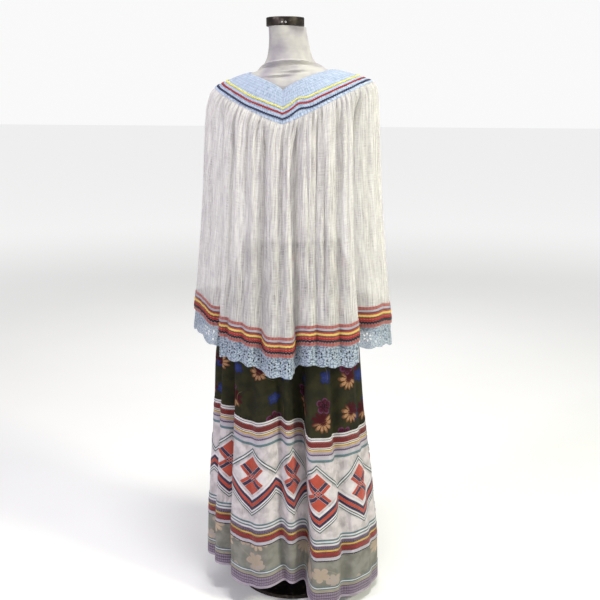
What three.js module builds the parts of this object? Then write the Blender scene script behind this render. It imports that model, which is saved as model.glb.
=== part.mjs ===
// A patchwork skirt and a gathered gauze cape, worn by a plain limbless dress form.
// Millimetres, +Z up. The origin is on the floor, under the middle of the stand.
// The outfit faces -Y. Angles run round it from the front middle towards +X, in degrees.
import * as THREE from "three";

// ---- driving dimensions ----
const SEAM_GAP = 0.3;
const TRIM_GAP = 0.5; // under what lies on a wall
const GAUZE_THICK = 1.4;
const YOKE_THICK = 1.8;
const LACE_THICK = 1.4;
const SKIRT_THICK = 1.6;
const TRIM_THICK = 1.1;
const PATCH_THICK = 1.0;

const YOKE_WIDTH = 92; // neckline to seam, along the cloth
const CAPE_DROP = 700; // yoke seam to the lace's edge, before the hem table
const LACE_DEPTH = 60;
const RIBBON_DEPTH = 57;
const LACE_REPEATS = 40; // three gathers to every two repeats
const REPEAT_LINES = [0, 0.18, 0.6]; // columns of one repeat; the first cell holds the holes
const LACE_ROWS = [0.25, 13, 21, 34, 42];
const LACE_HOLE_ROWS = [1, 3];
const SCALLOP = 5;

const WAIST_TOP = 1020;
const WAIST_SEAM = 975;
const UPPER_SEAM = 505;
const UPPER_BAND_END = 437;
const PATCH_CORNER = 368;
const LOWER_BAND_START = 220;
const LOWER_SEAM = 155;
const HEM_BAND_START = 82;
const SKIRT_HEM = 30;
const LIFT_START = 780; // the tiers hang level above this
const SKIRT_COLUMNS = 84;
const WAIST_COLUMNS = 42;
// Where the diamonds' side corners are round the skirt.
const PATCH_CORNERS = [-180, -150, -120, -90, -62, -35, -1, 19, 48, 88, 119, 150];
const PATCH_COUNT = PATCH_CORNERS.length;
const PATCH_COLUMNS = SKIRT_COLUMNS / PATCH_COUNT;

const FORM_COLUMNS = 28;
const FORM_CLEARANCE = 1.5;
const NECK_TOP = 1576;
const CAP_HEIGHT = 22;
const CAP_RADIUS = 49.5;
const PIN_RADIUS = 2.4;
const PIN_PLACES = [3, 13]; // sideways from the middle of the neck cap
const SHOULDER_TILT = 6; // the right-hand shoulder's rise, and the other's fall
const POLE_RADIUS = 14;
const BASE_RADIUS = 150;
const BASE_HEIGHT = 12;

// ---- short tables ----
// The form, level by level: half its width, and its depth to the front and to the back of the axis.
const FORM_LEVELS = [
  { z: 780, half: 140, front: 92, back: 102, side: 0 },
  { z: 840, half: 150, front: 98, back: 110, side: 0 },
  { z: 900, half: 151, front: 100, back: 108, side: 0 },
  { z: 975, half: 143, front: 99, back: 97, side: 0 },
  { z: 1020, half: 131, front: 96, back: 88, side: 0 },
  { z: 1075, half: 125, front: 97, back: 84, side: 0 },
  { z: 1170, half: 142, front: 110, back: 97, side: 0 },
  { z: 1265, half: 165, front: 119, back: 110, side: 0 },
  { z: 1335, half: 186, front: 112, back: 112, side: 0 },
  { z: 1390, half: 203, front: 100, back: 106, side: 0 },
  { z: 1418, half: 205, front: 92, back: 98, side: 0 },
  { z: 1436, half: 190, front: 86, back: 90, side: 0 },
  { z: 1448, half: 160, front: 81, back: 82, side: 0 },
  { z: 1460, half: 116, front: 78, back: 70, side: 0 },
  { z: 1474, half: 82, front: 77, back: 56, side: -2 },
  { z: 1490, half: 65, front: 77, back: 42, side: -4 },
];
const NECK_LEVELS = [
  { z: 1490, half: 65, front: 77, back: 42, side: -4 },
  { z: 1510, half: 57, front: 75, back: 34, side: -5 },
  { z: 1545, half: 51, front: 77, back: 26, side: -7 },
  { z: NECK_TOP, half: 48.5, front: 80, back: 18, side: -10 },
];
// The cape below the yoke seam, by how far down the cloth.
const CAPE_LEVELS = [
  { down: 0, half: 215, front: 126, back: 130, side: 4 },
  { down: 20, half: 224.5, front: 136, back: 140, side: 2.5 },
  { down: 60, half: 233, front: 148, back: 150, side: 0 },
  { down: 150, half: 240, front: 163, back: 164, side: 0 },
  { down: 300, half: 247, front: 177, back: 178, side: 0 },
  { down: 500, half: 264, front: 190, back: 194, side: 0 },
  { down: 700, half: 283, front: 206, back: 210, side: 0 },
];
// The height of the cape's lace edge round the body.
const CAPE_HEM = [
  { at: -180, z: 712 },
  { at: -130, z: 730 },
  { at: -90, z: 744 },
  { at: -60, z: 742 },
  { at: -46, z: 727 },
  { at: -35, z: 711 },
  { at: -22, z: 705 },
  { at: -14, z: 696 },
  { at: -4, z: 673 },
  { at: 9, z: 672 },
  { at: 18, z: 706 },
  { at: 42, z: 699 },
  { at: 62, z: 717 },
  { at: 92, z: 726 },
  { at: 140, z: 722 },
];
// Folds of the cape: where the trough is at the seam and at the hem, how wide and how deep it is,
// and how far it leans sideways for each millimetre of depth.
const CAPE_FOLDS = [
  { top: -47, hem: -42, wide: 4.0, deepTop: 12, deepHem: 34, lean: 0.35 },
  { top: -34, hem: -31, wide: 2.6, deepTop: 9, deepHem: 9, lean: 0 },
  { top: -23, hem: -20, wide: 2.8, deepTop: 12, deepHem: 7, lean: 0 },
  { top: -11, hem: -9, wide: 3.8, deepTop: 21, deepHem: 12, lean: 0 },
  { top: 2, hem: 2, wide: 2.8, deepTop: 13, deepHem: 5, lean: 0 },
  { top: 12, hem: 14, wide: 3.8, deepTop: 19, deepHem: 30, lean: -0.3 },
  { top: 25, hem: 23, wide: 3.0, deepTop: 13, deepHem: 9, lean: 0 },
  { top: 40, hem: 37, wide: 3.4, deepTop: 17, deepHem: 8, lean: 0 },
  { top: 58, hem: 57, wide: 3.9, deepTop: 27, deepHem: 34, lean: -0.2 },
  { top: 76, hem: 74, wide: 3.8, deepTop: 12, deepHem: 16, lean: 0 },
  { top: 97, hem: 99, wide: 4.2, deepTop: 14, deepHem: 20, lean: 0 },
  { top: 118, hem: 121, wide: 4.0, deepTop: 17, deepHem: 24, lean: 0 },
  { top: 139, hem: 141, wide: 4.0, deepTop: 14, deepHem: 16, lean: 0 },
  { top: 159, hem: 161, wide: 4.4, deepTop: 19, deepHem: 26, lean: 0 },
  { top: 181, hem: 183, wide: 4.2, deepTop: 15, deepHem: 18, lean: 0 },
  { top: 203, hem: 205, wide: 4.2, deepTop: 18, deepHem: 25, lean: 0 },
  { top: 225, hem: 223, wide: 4.4, deepTop: 14, deepHem: 19, lean: 0 },
  { top: 246, hem: 245, wide: 4.0, deepTop: 16, deepHem: 24, lean: 0 },
  { top: 266, hem: 267, wide: 3.8, deepTop: 12, deepHem: 15, lean: 0 },
  { top: 286, hem: 287, wide: 4.0, deepTop: 13, deepHem: 22, lean: 0 },
];
// The skirt, level by level.
const SKIRT_LEVELS = [
  { z: 1020, half: 132.6, front: 97.6, back: 89.6, side: 0 },
  { z: 975, half: 144.6, front: 100.6, back: 98.6, side: 0 },
  { z: 935, half: 163, front: 117, back: 121, side: -2 },
  { z: 840, half: 186, front: 142, back: 147, side: -5 },
  { z: 720, half: 206, front: 163, back: 168, side: -13 },
  { z: 505, half: 220, front: 188, back: 194, side: -8 },
  { z: 350, half: 236, front: 203, back: 210, side: -3 },
  { z: 155, half: 253, front: 216, back: 224, side: 0 },
  { z: 30, half: 256, front: 222, back: 230, side: 0 },
];
// How far the skirt's lower tiers are pulled up round the body. They hang higher on the left and in folds.
const SKIRT_LIFT = [
  { at: -180, z: 18 },
  { at: -130, z: 34 },
  { at: -90, z: 58 },
  { at: -55, z: 56 },
  { at: -38, z: 46 },
  { at: -15, z: 31 },
  { at: 2, z: 44 },
  { at: 12, z: 36 },
  { at: 27, z: -6 },
  { at: 42, z: -10 },
  { at: 60, z: -4 },
  { at: 75, z: -8 },
  { at: 100, z: -2 },
  { at: 140, z: 6 },
];
const SKIRT_FOLDS = [
  { top: -40, hem: -37, wide: 5.6, deepTop: 34, deepHem: 60, lean: 0.25 },
  { top: -22, hem: -16, wide: 4.2, deepTop: 12, deepHem: 8, lean: 0 },
  { top: -2, hem: 5, wide: 5.6, deepTop: 16, deepHem: 48, lean: 0 },
  { top: 20, hem: 18, wide: 5.4, deepTop: 52, deepHem: 46, lean: 0 },
  { top: 52, hem: 47, wide: 4.8, deepTop: 22, deepHem: 20, lean: -0.2 },
  { top: 76, hem: 78, wide: 5.2, deepTop: 12, deepHem: 6, lean: 0 },
  { top: 98, hem: 100, wide: 5.6, deepTop: 18, deepHem: 38, lean: 0 },
  { top: 124, hem: 126, wide: 5.4, deepTop: 22, deepHem: 30, lean: 0 },
  { top: 150, hem: 152, wide: 5.8, deepTop: 30, deepHem: 42, lean: 0 },
  { top: 178, hem: 178, wide: 5.4, deepTop: 22, deepHem: 30, lean: 0 },
  { top: 206, hem: 204, wide: 5.8, deepTop: 30, deepHem: 40, lean: 0 },
  { top: 232, hem: 230, wide: 5.2, deepTop: 22, deepHem: 32, lean: 0 },
  { top: 258, hem: 256, wide: 5.6, deepTop: 26, deepHem: 40, lean: 0 },
  { top: 284, hem: 282, wide: 5.2, deepTop: 20, deepHem: 28, lean: 0 },
  { top: 303, hem: 302, wide: 4.6, deepTop: 14, deepHem: 18, lean: 0 },
];

// ---- curves read from the tables ----
const radians = THREE.MathUtils.degToRad;
const mix = THREE.MathUtils.lerp;
const ease = THREE.MathUtils.smoothstep;

// A smooth curve through one column of a table, by the values of its key column.
function along(table, key, column, value) {
  const rising = table[0][key] < table[table.length - 1][key];
  const rows = rising ? table : [...table].reverse();
  const last = rows.length - 1;
  const x = THREE.MathUtils.clamp(value, rows[0][key], rows[last][key]);
  let k = 0;
  while (k < last - 1 && x > rows[k + 1][key]) k += 1;
  const slope = (i) => {
    const lo = rows[Math.max(0, i - 1)];
    const hi = rows[Math.min(last, i + 1)];
    return (hi[column] - lo[column]) / (hi[key] - lo[key]);
  };
  const step = rows[k + 1][key] - rows[k][key];
  const t = (x - rows[k][key]) / step;
  const t2 = t * t;
  const t3 = t2 * t;
  return (
    (2 * t3 - 3 * t2 + 1) * rows[k][column] +
    (t3 - 2 * t2 + t) * step * slope(k) +
    (3 * t2 - 2 * t3) * rows[k + 1][column] +
    (t3 - t2) * step * slope(k + 1)
  );
}

// An angle brought to within half a turn of nought.
const turn = (angle) => angle - 360 * Math.round(angle / 360);

// A table's height at an angle, eased from row to row all the way round.
function heightRound(table, angle) {
  const at = turn(angle) < table[0].at ? turn(angle) + 360 : turn(angle);
  for (let k = 0; k < table.length; k += 1) {
    const here = table[k];
    const next = table[(k + 1) % table.length];
    const end = next.at > here.at ? next.at : next.at + 360;
    if (at >= here.at && at <= end) return mix(here.z, next.z, ease(at, here.at, end));
  }
  return table[0].z;
}

// A point on an oval whose front and back halves differ in depth.
function oval(half, front, back, angle) {
  const c = Math.cos(radians(angle));
  return new THREE.Vector2(half * Math.sin(radians(angle)), c > 0 ? -front * c : -back * c);
}

// How far a point is moved inwards and sideways by a table of folds, where t runs from top to hem.
function foldShift(folds, angle, t) {
  let inwards = 0;
  let sideways = 0;
  for (const fold of folds) {
    const x = turn(angle - mix(fold.top, fold.hem, t)) / fold.wide;
    const depth = mix(fold.deepTop, fold.deepHem, t) * Math.exp(-x * x);
    inwards += depth;
    sideways += fold.lean * depth;
  }
  return { inwards, sideways };
}

// An oval point moved by folds. Share is how much of the folds shows.
function foldedPoint(size, angle, z, folds, t, share) {
  const p = oval(size.half, size.front, size.back, angle);
  const out = new THREE.Vector2(p.x / size.half ** 2, p.y / (p.y < 0 ? size.front : size.back) ** 2);
  out.normalize();
  const shift = foldShift(folds, angle, t);
  p.addScaledVector(out, -share * shift.inwards);
  p.addScaledVector(new THREE.Vector2(-out.y, out.x), share * shift.sideways);
  return new THREE.Vector3(p.x + (size.side ?? 0), p.y, z);
}

// ---- the form ----
// How far the uneven shoulders lift a point. The waist and the neck's top stay level.
const shoulderLift = (x, z) => SHOULDER_TILT * (x / 200) * ease(z, 1150, 1400) * (1 - ease(z, 1465, 1510));

function formAt(z) {
  let k = 0;
  while (k < FORM_LEVELS.length - 2 && z > FORM_LEVELS[k + 1].z) k += 1;
  const low = FORM_LEVELS[k];
  const high = FORM_LEVELS[k + 1];
  const t = THREE.MathUtils.clamp((z - low.z) / (high.z - low.z), 0, 1);
  return {
    half: mix(low.half, high.half, t),
    front: mix(low.front, high.front, t),
    back: mix(low.back, high.back, t),
    side: mix(low.side, high.side, t),
  };
}

// Moves a point sideways until it is clear of the form.
function clearOfForm(p) {
  const size = formAt(p.z - shoulderLift(p.x, p.z) - FORM_CLEARANCE);
  const depth = p.y < 0 ? size.front : size.back;
  const x = p.x - size.side;
  const reach = Math.hypot(x / (size.half + FORM_CLEARANCE), p.y / (depth + FORM_CLEARANCE));
  if (reach < 1) p.set(x / reach + size.side, p.y / reach, p.z);
  return p;
}

// ---- the cape ----
// The yoke is a mitred strip: a V in front and a shallow V behind, straight over the shoulders.
const NECKLINE = { half: 112, front: 100, back: 84, vFront: 1412, vBack: 1438, rise: 52, riseBack: 26 };
const SEAM_V = { front: 1329, back: 1352, rise: 101, riseBack: 78 };

function necklineHeight(angle) {
  const s = Math.abs(Math.sin(radians(angle)));
  const front = Math.cos(radians(angle)) > 0;
  return front ? NECKLINE.vFront + NECKLINE.rise * s ** 0.7 : NECKLINE.vBack + NECKLINE.riseBack * s ** 0.7;
}

function seamHeight(angle) {
  const s = Math.abs(Math.sin(radians(angle)));
  const front = Math.cos(radians(angle)) > 0;
  return front ? SEAM_V.front + SEAM_V.rise * s ** 1.15 : SEAM_V.back + SEAM_V.riseBack * s ** 1.15;
}

// A point of the cape's middle surface. Down is 0 at the neckline and YOKE_WIDTH at the seam.
function capePoint(angle, down) {
  const drop = down - YOKE_WIDTH;
  if (drop <= 0) {
    const v = Math.max(0, down / YOKE_WIDTH);
    const edge = CAPE_LEVELS[0];
    const p = oval(
      mix(NECKLINE.half, edge.half, v),
      mix(NECKLINE.front, edge.front, v),
      mix(NECKLINE.back, edge.back, v),
      angle,
    );
    const x = p.x + edge.side * v;
    const z = mix(necklineHeight(angle), seamHeight(angle), v ** 1.35);
    return clearOfForm(new THREE.Vector3(x, p.y, z + shoulderLift(p.x, z)));
  }
  const t = drop / CAPE_DROP;
  const size = {
    half: along(CAPE_LEVELS, "down", "half", drop),
    front: along(CAPE_LEVELS, "down", "front", drop),
    back: along(CAPE_LEVELS, "down", "back", drop),
    side: along(CAPE_LEVELS, "down", "side", drop),
  };
  const seam = seamHeight(angle);
  const lift = shoulderLift(size.half * Math.sin(radians(angle)), seam);
  const z = mix(seam + lift, heightRound(CAPE_HEM, angle), t);
  return foldedPoint(size, angle, z, CAPE_FOLDS, t, ease(drop, 0, 90));
}

// How far each gather stands out, by how far it is below the seam.
const gatherHeight = (drop) => 2.2 * ease(drop, 0, 25) * (1 - 0.8 * ease(drop, 80, 520));

// ---- the skirt ----
// The folds deepen through the upper tier, run straight down the patchwork, and deepen again below it.
// Heights are given as the tiers would hang level.
const STRAIGHT_SHARE = 0.7;
function skirtPoint(angle, z) {
  const size = {
    half: along(SKIRT_LEVELS, "z", "half", z),
    front: along(SKIRT_LEVELS, "z", "front", z),
    back: along(SKIRT_LEVELS, "z", "back", z),
    side: along(SKIRT_LEVELS, "z", "side", z),
  };
  const above = ease(-z, -WAIST_SEAM, -UPPER_SEAM);
  const below = ease(-z, -LOWER_SEAM, -SKIRT_HEM);
  const t = STRAIGHT_SHARE * above + (1 - STRAIGHT_SHARE) * below;
  const height = z + heightRound(SKIRT_LIFT, angle) * ease(-z, -LIFT_START, -UPPER_SEAM);
  return foldedPoint(size, angle, height, SKIRT_FOLDS, t, ease(-z, -WAIST_SEAM + 5, -740));
}

// ---- panels and walls ----
// A panel is a grid of middle points with the way out at each. Rows run down, columns run round.
// The way out is square to the chords on both sides. A column on a quarter turn looks equally far both ways,
// and a row at the seam faces halfway between both sides, so that two walls meet there in one plane.
const SEAM_REACH = 1.6; // degrees
const ROW_REACH = 3; // millimetres
function panel(surface, rows, angles, { stand = () => 0, seam = null } = {}) {
  const last = angles.length - 1;
  const neighbours = angles.map((angle, i) => {
    const quarter = 90 * Math.round(angle / 90);
    if (Math.abs(angle - quarter) < 0.1) return [quarter - SEAM_REACH, quarter, quarter + SEAM_REACH];
    const before = i > 0 ? angles[i - 1] : angles[last] - 360;
    const after = i < last ? angles[i + 1] : angles[0] + 360;
    return [before, angle, after];
  });
  return rows.map((row) =>
    angles.map((angle, column) => {
      const lift = typeof row === "function" ? row(angle, column) : row;
      const level = seam !== null && Math.abs(lift - seam) < 1 ? seam : lift;
      const [before, facing, after] = neighbours[column];
      const here = surface(facing, level);
      const across = surface(after, level).sub(here).normalize();
      across.add(here.clone().sub(surface(before, level)).normalize());
      const downwards = surface(facing, level + ROW_REACH).sub(surface(facing, level - ROW_REACH));
      if (downwards.z > 0) downwards.negate();
      const out = downwards.cross(across).normalize();
      const point = surface(angle, lift).addScaledVector(out, stand(lift, column));
      return { point, out };
    }),
  );
}

// A strip that lies on a panel: its rows are points between two rows of the panel.
function stripOn(grid, places) {
  return places.map(({ row, part }) =>
    grid[row].map((cell, i) => {
      const next = grid[Math.min(row + 1, grid.length - 1)][i];
      return {
        point: cell.point.clone().lerp(next.point, part),
        out: cell.out.clone().lerp(next.out, part).normalize(),
      };
    }),
  );
}

// A wall from a panel, between two offsets. Ring joins the last column to the first. Cut leaves cells out.
function wall(grid, inner, outer, { ring = false, cut = () => false } = {}) {
  const rows = grid.length;
  const columns = grid[0].length;
  const cells = ring ? columns : columns - 1;
  const positions = [];
  for (const offset of [outer, inner]) {
    for (const line of grid) {
      for (const { point, out } of line) {
        positions.push(...point.clone().addScaledVector(out, offset).toArray());
      }
    }
  }
  const at = (side, j, i) => side * rows * columns + j * columns + (i % columns);
  const solid = (j, i) => {
    if (j < 0 || j >= rows - 1) return false;
    if (!ring && (i < 0 || i >= cells)) return false;
    return !cut(j, (i + cells) % cells);
  };
  const index = [];
  const quad = (a, b, c, d) => index.push(a, b, c, a, c, d);
  for (let j = 0; j < rows - 1; j += 1) {
    for (let i = 0; i < cells; i += 1) {
      if (!solid(j, i)) continue;
      const places = [[j, i], [j + 1, i], [j + 1, i + 1], [j, i + 1]];
      const corner = (side) => places.map(([row, column]) => at(side, row, column));
      const [outTL, outBL, outBR, outTR] = corner(0);
      const [inTL, inBL, inBR, inTR] = corner(1);
      quad(outTL, outBL, outBR, outTR);
      quad(inTL, inTR, inBR, inBL);
      if (!solid(j - 1, i)) quad(outTL, outTR, inTR, inTL);
      if (!solid(j + 1, i)) quad(outBL, inBL, inBR, outBR);
      if (!solid(j, i - 1)) quad(outTL, inTL, inBL, outBL);
      if (!solid(j, i + 1)) quad(outTR, outBR, inBR, inTR);
    }
  }
  const geometry = new THREE.BufferGeometry();
  geometry.setAttribute("position", new THREE.Float32BufferAttribute(positions, 3));
  geometry.setIndex(index);
  return geometry;
}

// Evenly spaced angles, all the way round.
const evenAngles = (count) => Array.from({ length: count }, (_, i) => -180 + (360 * i) / count);

// ---- materials ----
function finish(color, roughness, metalness = 0) {
  return new THREE.MeshStandardMaterial({ color, roughness, metalness });
}
const MATERIALS = {
  gauze: finish(0xe9e6e0, 0.9),
  yoke: finish(0xb9c9e6, 0.85),
  lace: finish(0xb6c4d8, 0.8),
  yellow: finish(0xe6d552, 0.7),
  red: finish(0xa8271d, 0.7),
  navy: finish(0x1a1f3c, 0.7),
  ribbon: finish(0xa34a3c, 0.6),
  floral: finish(0x2b2d1b, 0.9),
  patchwork: finish(0xcdc6c8, 0.85),
  patch: finish(0xb8452f, 0.85),
  mauve: finish(0x7d6a80, 0.75),
  form: finish(0xd9d6cf, 0.9),
  cap: finish(0x2f2a28, 0.4, 0.8),
  steel: finish(0xb8b8ba, 0.35, 1),
};

const outfit = new THREE.Group();
function add(name, geometry, material) {
  const mesh = new THREE.Mesh(geometry, material);
  mesh.name = name;
  outfit.add(mesh);
  return mesh;
}

// ---- the dress form and its stand ----
// A closed loft through the form's levels, with flat ends.
function formBody() {
  const levels = [...FORM_LEVELS, ...NECK_LEVELS.slice(1)];
  const positions = [];
  for (const level of levels) {
    for (let i = 0; i < FORM_COLUMNS; i += 1) {
      const p = oval(level.half, level.front, level.back, (360 * i) / FORM_COLUMNS);
      positions.push(p.x + level.side, p.y, level.z + shoulderLift(p.x, level.z));
    }
  }
  const top = levels[levels.length - 1];
  positions.push(0, 0, levels[0].z, top.side, (top.back - top.front) / 2, top.z);
  const low = levels.length * FORM_COLUMNS;
  const index = [];
  for (let i = 0; i < FORM_COLUMNS; i += 1) {
    const next = (i + 1) % FORM_COLUMNS;
    index.push(low, next, i);
    index.push(low + 1, (levels.length - 1) * FORM_COLUMNS + i, (levels.length - 1) * FORM_COLUMNS + next);
    for (let k = 0; k < levels.length - 1; k += 1) {
      const a = k * FORM_COLUMNS;
      const b = a + FORM_COLUMNS;
      index.push(a + i, a + next, b + next, a + i, b + next, b + i);
    }
  }
  const geometry = new THREE.BufferGeometry();
  geometry.setAttribute("position", new THREE.Float32BufferAttribute(positions, 3));
  geometry.setIndex(index);
  return geometry;
}

function upright(radiusTop, radiusBottom, low, high, sides) {
  const geometry = new THREE.CylinderGeometry(radiusTop, radiusBottom, high - low, sides);
  geometry.rotateX(Math.PI / 2);
  geometry.translate(0, 0, (low + high) / 2);
  return geometry;
}

add("form_body", formBody(), MATERIALS.form);
const neckTop = NECK_LEVELS[NECK_LEVELS.length - 1];
const neckMiddle = (neckTop.back - neckTop.front) / 2;
const capLow = NECK_TOP + SEAM_GAP;
const capShape = upright(CAP_RADIUS, CAP_RADIUS, capLow, capLow + CAP_HEIGHT, 40);
const cap = add("form_neck_cap", capShape, MATERIALS.cap);
cap.position.set(neckTop.side, neckMiddle, 0);
PIN_PLACES.forEach((x, k) => {
  const length = 1.6;
  const shape = new THREE.CylinderGeometry(PIN_RADIUS, PIN_RADIUS, length, 10);
  const head = add(`form_pin_${k + 1}`, shape, MATERIALS.steel);
  const inner = Math.max(0, x - PIN_RADIUS);
  const depth = Math.sqrt(CAP_RADIUS ** 2 - inner ** 2) + SEAM_GAP + length / 2;
  head.position.set(x + neckTop.side, neckMiddle - depth, capLow + CAP_HEIGHT / 3);
});
const poleTop = FORM_LEVELS[0].z - SEAM_GAP;
add("stand_pole", upright(POLE_RADIUS, POLE_RADIUS, BASE_HEIGHT + SEAM_GAP, poleTop, 20), MATERIALS.steel);
add("stand_base", upright(BASE_RADIUS - 6, BASE_RADIUS, 0, BASE_HEIGHT, 40), MATERIALS.cap);

// ---- the cape's pieces ----
// Every piece of the cape shares these columns, so that neighbours meet line to line.
const capeAngles = [];
for (let k = 0; k < LACE_REPEATS; k += 1) {
  for (const line of REPEAT_LINES) capeAngles.push(-180 + (360 * (k + line)) / LACE_REPEATS);
}
// The columns of an open run, each end half a seam gap short. Step 2 takes every other column.
function capeRun(from, step, radius) {
  const first = capeAngles.findIndex((angle) => Math.abs(turn(angle - from)) < 0.01);
  const half = capeAngles.length / 2;
  const run = [];
  for (let k = 0; k <= half; k += step) {
    const at = first + k;
    run.push(capeAngles[at % capeAngles.length] + (at >= capeAngles.length ? 360 : 0));
  }
  const gap = THREE.MathUtils.radToDeg(SEAM_GAP / 2 / radius);
  run[0] += gap;
  run[run.length - 1] -= gap;
  return run;
}

const YOKE_ROWS = [0, 34, 66, YOKE_WIDTH - 1.2 * SEAM_GAP];
const YOKE_TRIMS = [
  { name: "yellow", row: 1, from: 0.69, to: 0.87 },
  { name: "red", row: 2, from: 0.08, to: 0.3 },
  { name: "navy", row: 2, from: 0.55, to: 0.76 },
];
for (const [side, from] of [["left", 0], ["right", -180]]) {
  const grid = panel(capePoint, YOKE_ROWS, capeRun(from, 2, 150), { seam: YOKE_WIDTH });
  add(`yoke_${side}`, wall(grid, -YOKE_THICK / 2, YOKE_THICK / 2), MATERIALS.yoke);
}
const yokeAngles = capeAngles.filter((_, column) => column % 2 === 0);
const yokeRound = panel(capePoint, YOKE_ROWS, yokeAngles, { seam: YOKE_WIDTH });
const yokeTrimLow = YOKE_THICK / 2 + TRIM_GAP;
for (const trim of YOKE_TRIMS) {
  const strip = stripOn(yokeRound, [{ row: trim.row, part: trim.from }, { row: trim.row, part: trim.to }]);
  const shape = wall(strip, yokeTrimLow, yokeTrimLow + TRIM_THICK, { ring: true });
  add(`yoke_rickrack_${trim.name}`, shape, MATERIALS[trim.name]);
}

const laceTop = YOKE_WIDTH + CAPE_DROP - LACE_DEPTH;
const ribbonTop = laceTop - RIBBON_DEPTH;
const capeRows = [
  YOKE_WIDTH + SEAM_GAP / 2,
  YOKE_WIDTH + 16,
  YOKE_WIDTH + 75,
  YOKE_WIDTH + 260,
  ribbonTop,
  laceTop - 0.8 * SEAM_GAP,
];
const gatherStand = (down, column) => gatherHeight(down - YOKE_WIDTH) * (column % 2 ? -1 : 1);
for (const [side, from] of [["front", -90], ["back", 90]]) {
  const grid = panel(capePoint, capeRows, capeRun(from, 1, 230), { stand: gatherStand, seam: YOKE_WIDTH });
  add(`cape_${side}`, wall(grid, -GAUZE_THICK / 2, GAUZE_THICK / 2), MATERIALS.gauze);
}
const ribbonGrid = panel(capePoint, capeRows.slice(-2), capeAngles, { stand: gatherStand });
const ribbonLow = GAUZE_THICK / 2 + TRIM_GAP;
const ribbonStrip = stripOn(ribbonGrid, [{ row: 0, part: 0 }, { row: 0, part: 0.99 }]);
add("cape_ribbons", wall(ribbonStrip, ribbonLow, ribbonLow + TRIM_THICK, { ring: true }), MATERIALS.ribbon);

// Lace: each repeat has two holes, one above the other, and a scallop below.
for (const [side, from] of [["front", -90], ["back", 90]]) {
  const isTip = (column) => column % REPEAT_LINES.length === 0;
  const edge = (angle, column) => laceTop + LACE_DEPTH - (isTip(column) ? 0 : SCALLOP);
  const rows = [...LACE_ROWS.map((depth) => laceTop + depth), edge];
  const cut = (j, i) => LACE_HOLE_ROWS.includes(j) && i % REPEAT_LINES.length === 0;
  const grid = panel(capePoint, rows, capeRun(from, 1, 280));
  add(`lace_${side}`, wall(grid, -LACE_THICK / 2, LACE_THICK / 2, { cut }), MATERIALS.lace);
}

// ---- the skirt's pieces ----
const waistAngles = evenAngles(WAIST_COLUMNS);
const waistGrid = panel(skirtPoint, [WAIST_TOP, WAIST_SEAM + SEAM_GAP / 2], waistAngles);
add("skirt_waistband", wall(waistGrid, -SKIRT_THICK / 2, SKIRT_THICK / 2, { ring: true }), MATERIALS.floral);

const skirtAngles = PATCH_CORNERS.flatMap((corner, k) => {
  const next = k + 1 < PATCH_COUNT ? PATCH_CORNERS[k + 1] : PATCH_CORNERS[0] + 360;
  return Array.from({ length: PATCH_COLUMNS }, (_, i) => mix(corner, next, i / PATCH_COLUMNS));
});
const skirtRound = (rows) => panel(skirtPoint, rows, skirtAngles);
const floralUpper = skirtRound([WAIST_SEAM - SEAM_GAP / 2, 905, 740, UPPER_SEAM + SEAM_GAP / 2]);
const patchwork = skirtRound([UPPER_SEAM - SEAM_GAP / 2, PATCH_CORNER, LOWER_SEAM + SEAM_GAP / 2]);
const floralLower = skirtRound([LOWER_SEAM - SEAM_GAP / 2, HEM_BAND_START, SKIRT_HEM]);
const skirtWall = (grid) => wall(grid, -SKIRT_THICK / 2, SKIRT_THICK / 2, { ring: true });
add("skirt_floral_upper", skirtWall(floralUpper), MATERIALS.floral);
add("skirt_patchwork", skirtWall(patchwork), MATERIALS.patchwork);
add("skirt_floral_lower", skirtWall(floralLower), MATERIALS.floral);

const skirtTrimLow = SKIRT_THICK / 2 + TRIM_GAP;
const upperBandEnd = (UPPER_SEAM - UPPER_BAND_END) / (UPPER_SEAM - PATCH_CORNER);
const lowerBandStart = (PATCH_CORNER - LOWER_BAND_START) / (PATCH_CORNER - LOWER_SEAM);
const SKIRT_BANDS = [
  { name: "skirt_ribbon_upper", grid: patchwork, row: 0, from: 0, to: upperBandEnd, material: "ribbon" },
  { name: "skirt_ribbon_lower", grid: patchwork, row: 1, from: lowerBandStart, to: 1, material: "ribbon" },
  { name: "skirt_ribbon_hem", grid: floralLower, row: 1, from: 0, to: 0.96, material: "mauve" },
];
for (const band of SKIRT_BANDS) {
  const strip = stripOn(band.grid, [{ row: band.row, part: band.from }, { row: band.row, part: band.to }]);
  const shape = wall(strip, skirtTrimLow, skirtTrimLow + TRIM_THICK, { ring: true });
  add(band.name, shape, MATERIALS[band.material]);
}

// Diamond patches lie on the patchwork panel, side by side. Their corners are at the PATCH_CORNER level.
const PATCH_TOP = 0.46; // of the way from the corners' level to the seam above
const PATCH_BOTTOM = 0.57; // of the way from the corners' level to the seam below
function patchGrid(first) {
  const columns = Array.from({ length: PATCH_COLUMNS - 1 }, (_, k) => k + 1);
  const lines = [
    { row: 0, reach: (share) => 1 - PATCH_TOP * share },
    { row: 1, reach: () => 0 },
    { row: 1, reach: (share) => PATCH_BOTTOM * share },
  ];
  return lines.map(({ row, reach }) =>
    columns.map((k) => {
      const share = 1 - Math.abs(k - PATCH_COLUMNS / 2) / (PATCH_COLUMNS / 2);
      const here = patchwork[row][(first + k) % SKIRT_COLUMNS];
      const next = patchwork[row + 1][(first + k) % SKIRT_COLUMNS];
      return {
        point: here.point.clone().lerp(next.point, reach(share)),
        out: here.out.clone().lerp(next.out, reach(share)).normalize(),
      };
    }),
  );
}
for (let k = 0; k < PATCH_COUNT; k += 1) {
  const number = String(k + 1).padStart(2, "0");
  const shape = wall(patchGrid(k * PATCH_COLUMNS), skirtTrimLow, skirtTrimLow + PATCH_THICK);
  add(`skirt_patch_${number}`, shape, MATERIALS.patch);
}

export default outfit;
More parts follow.
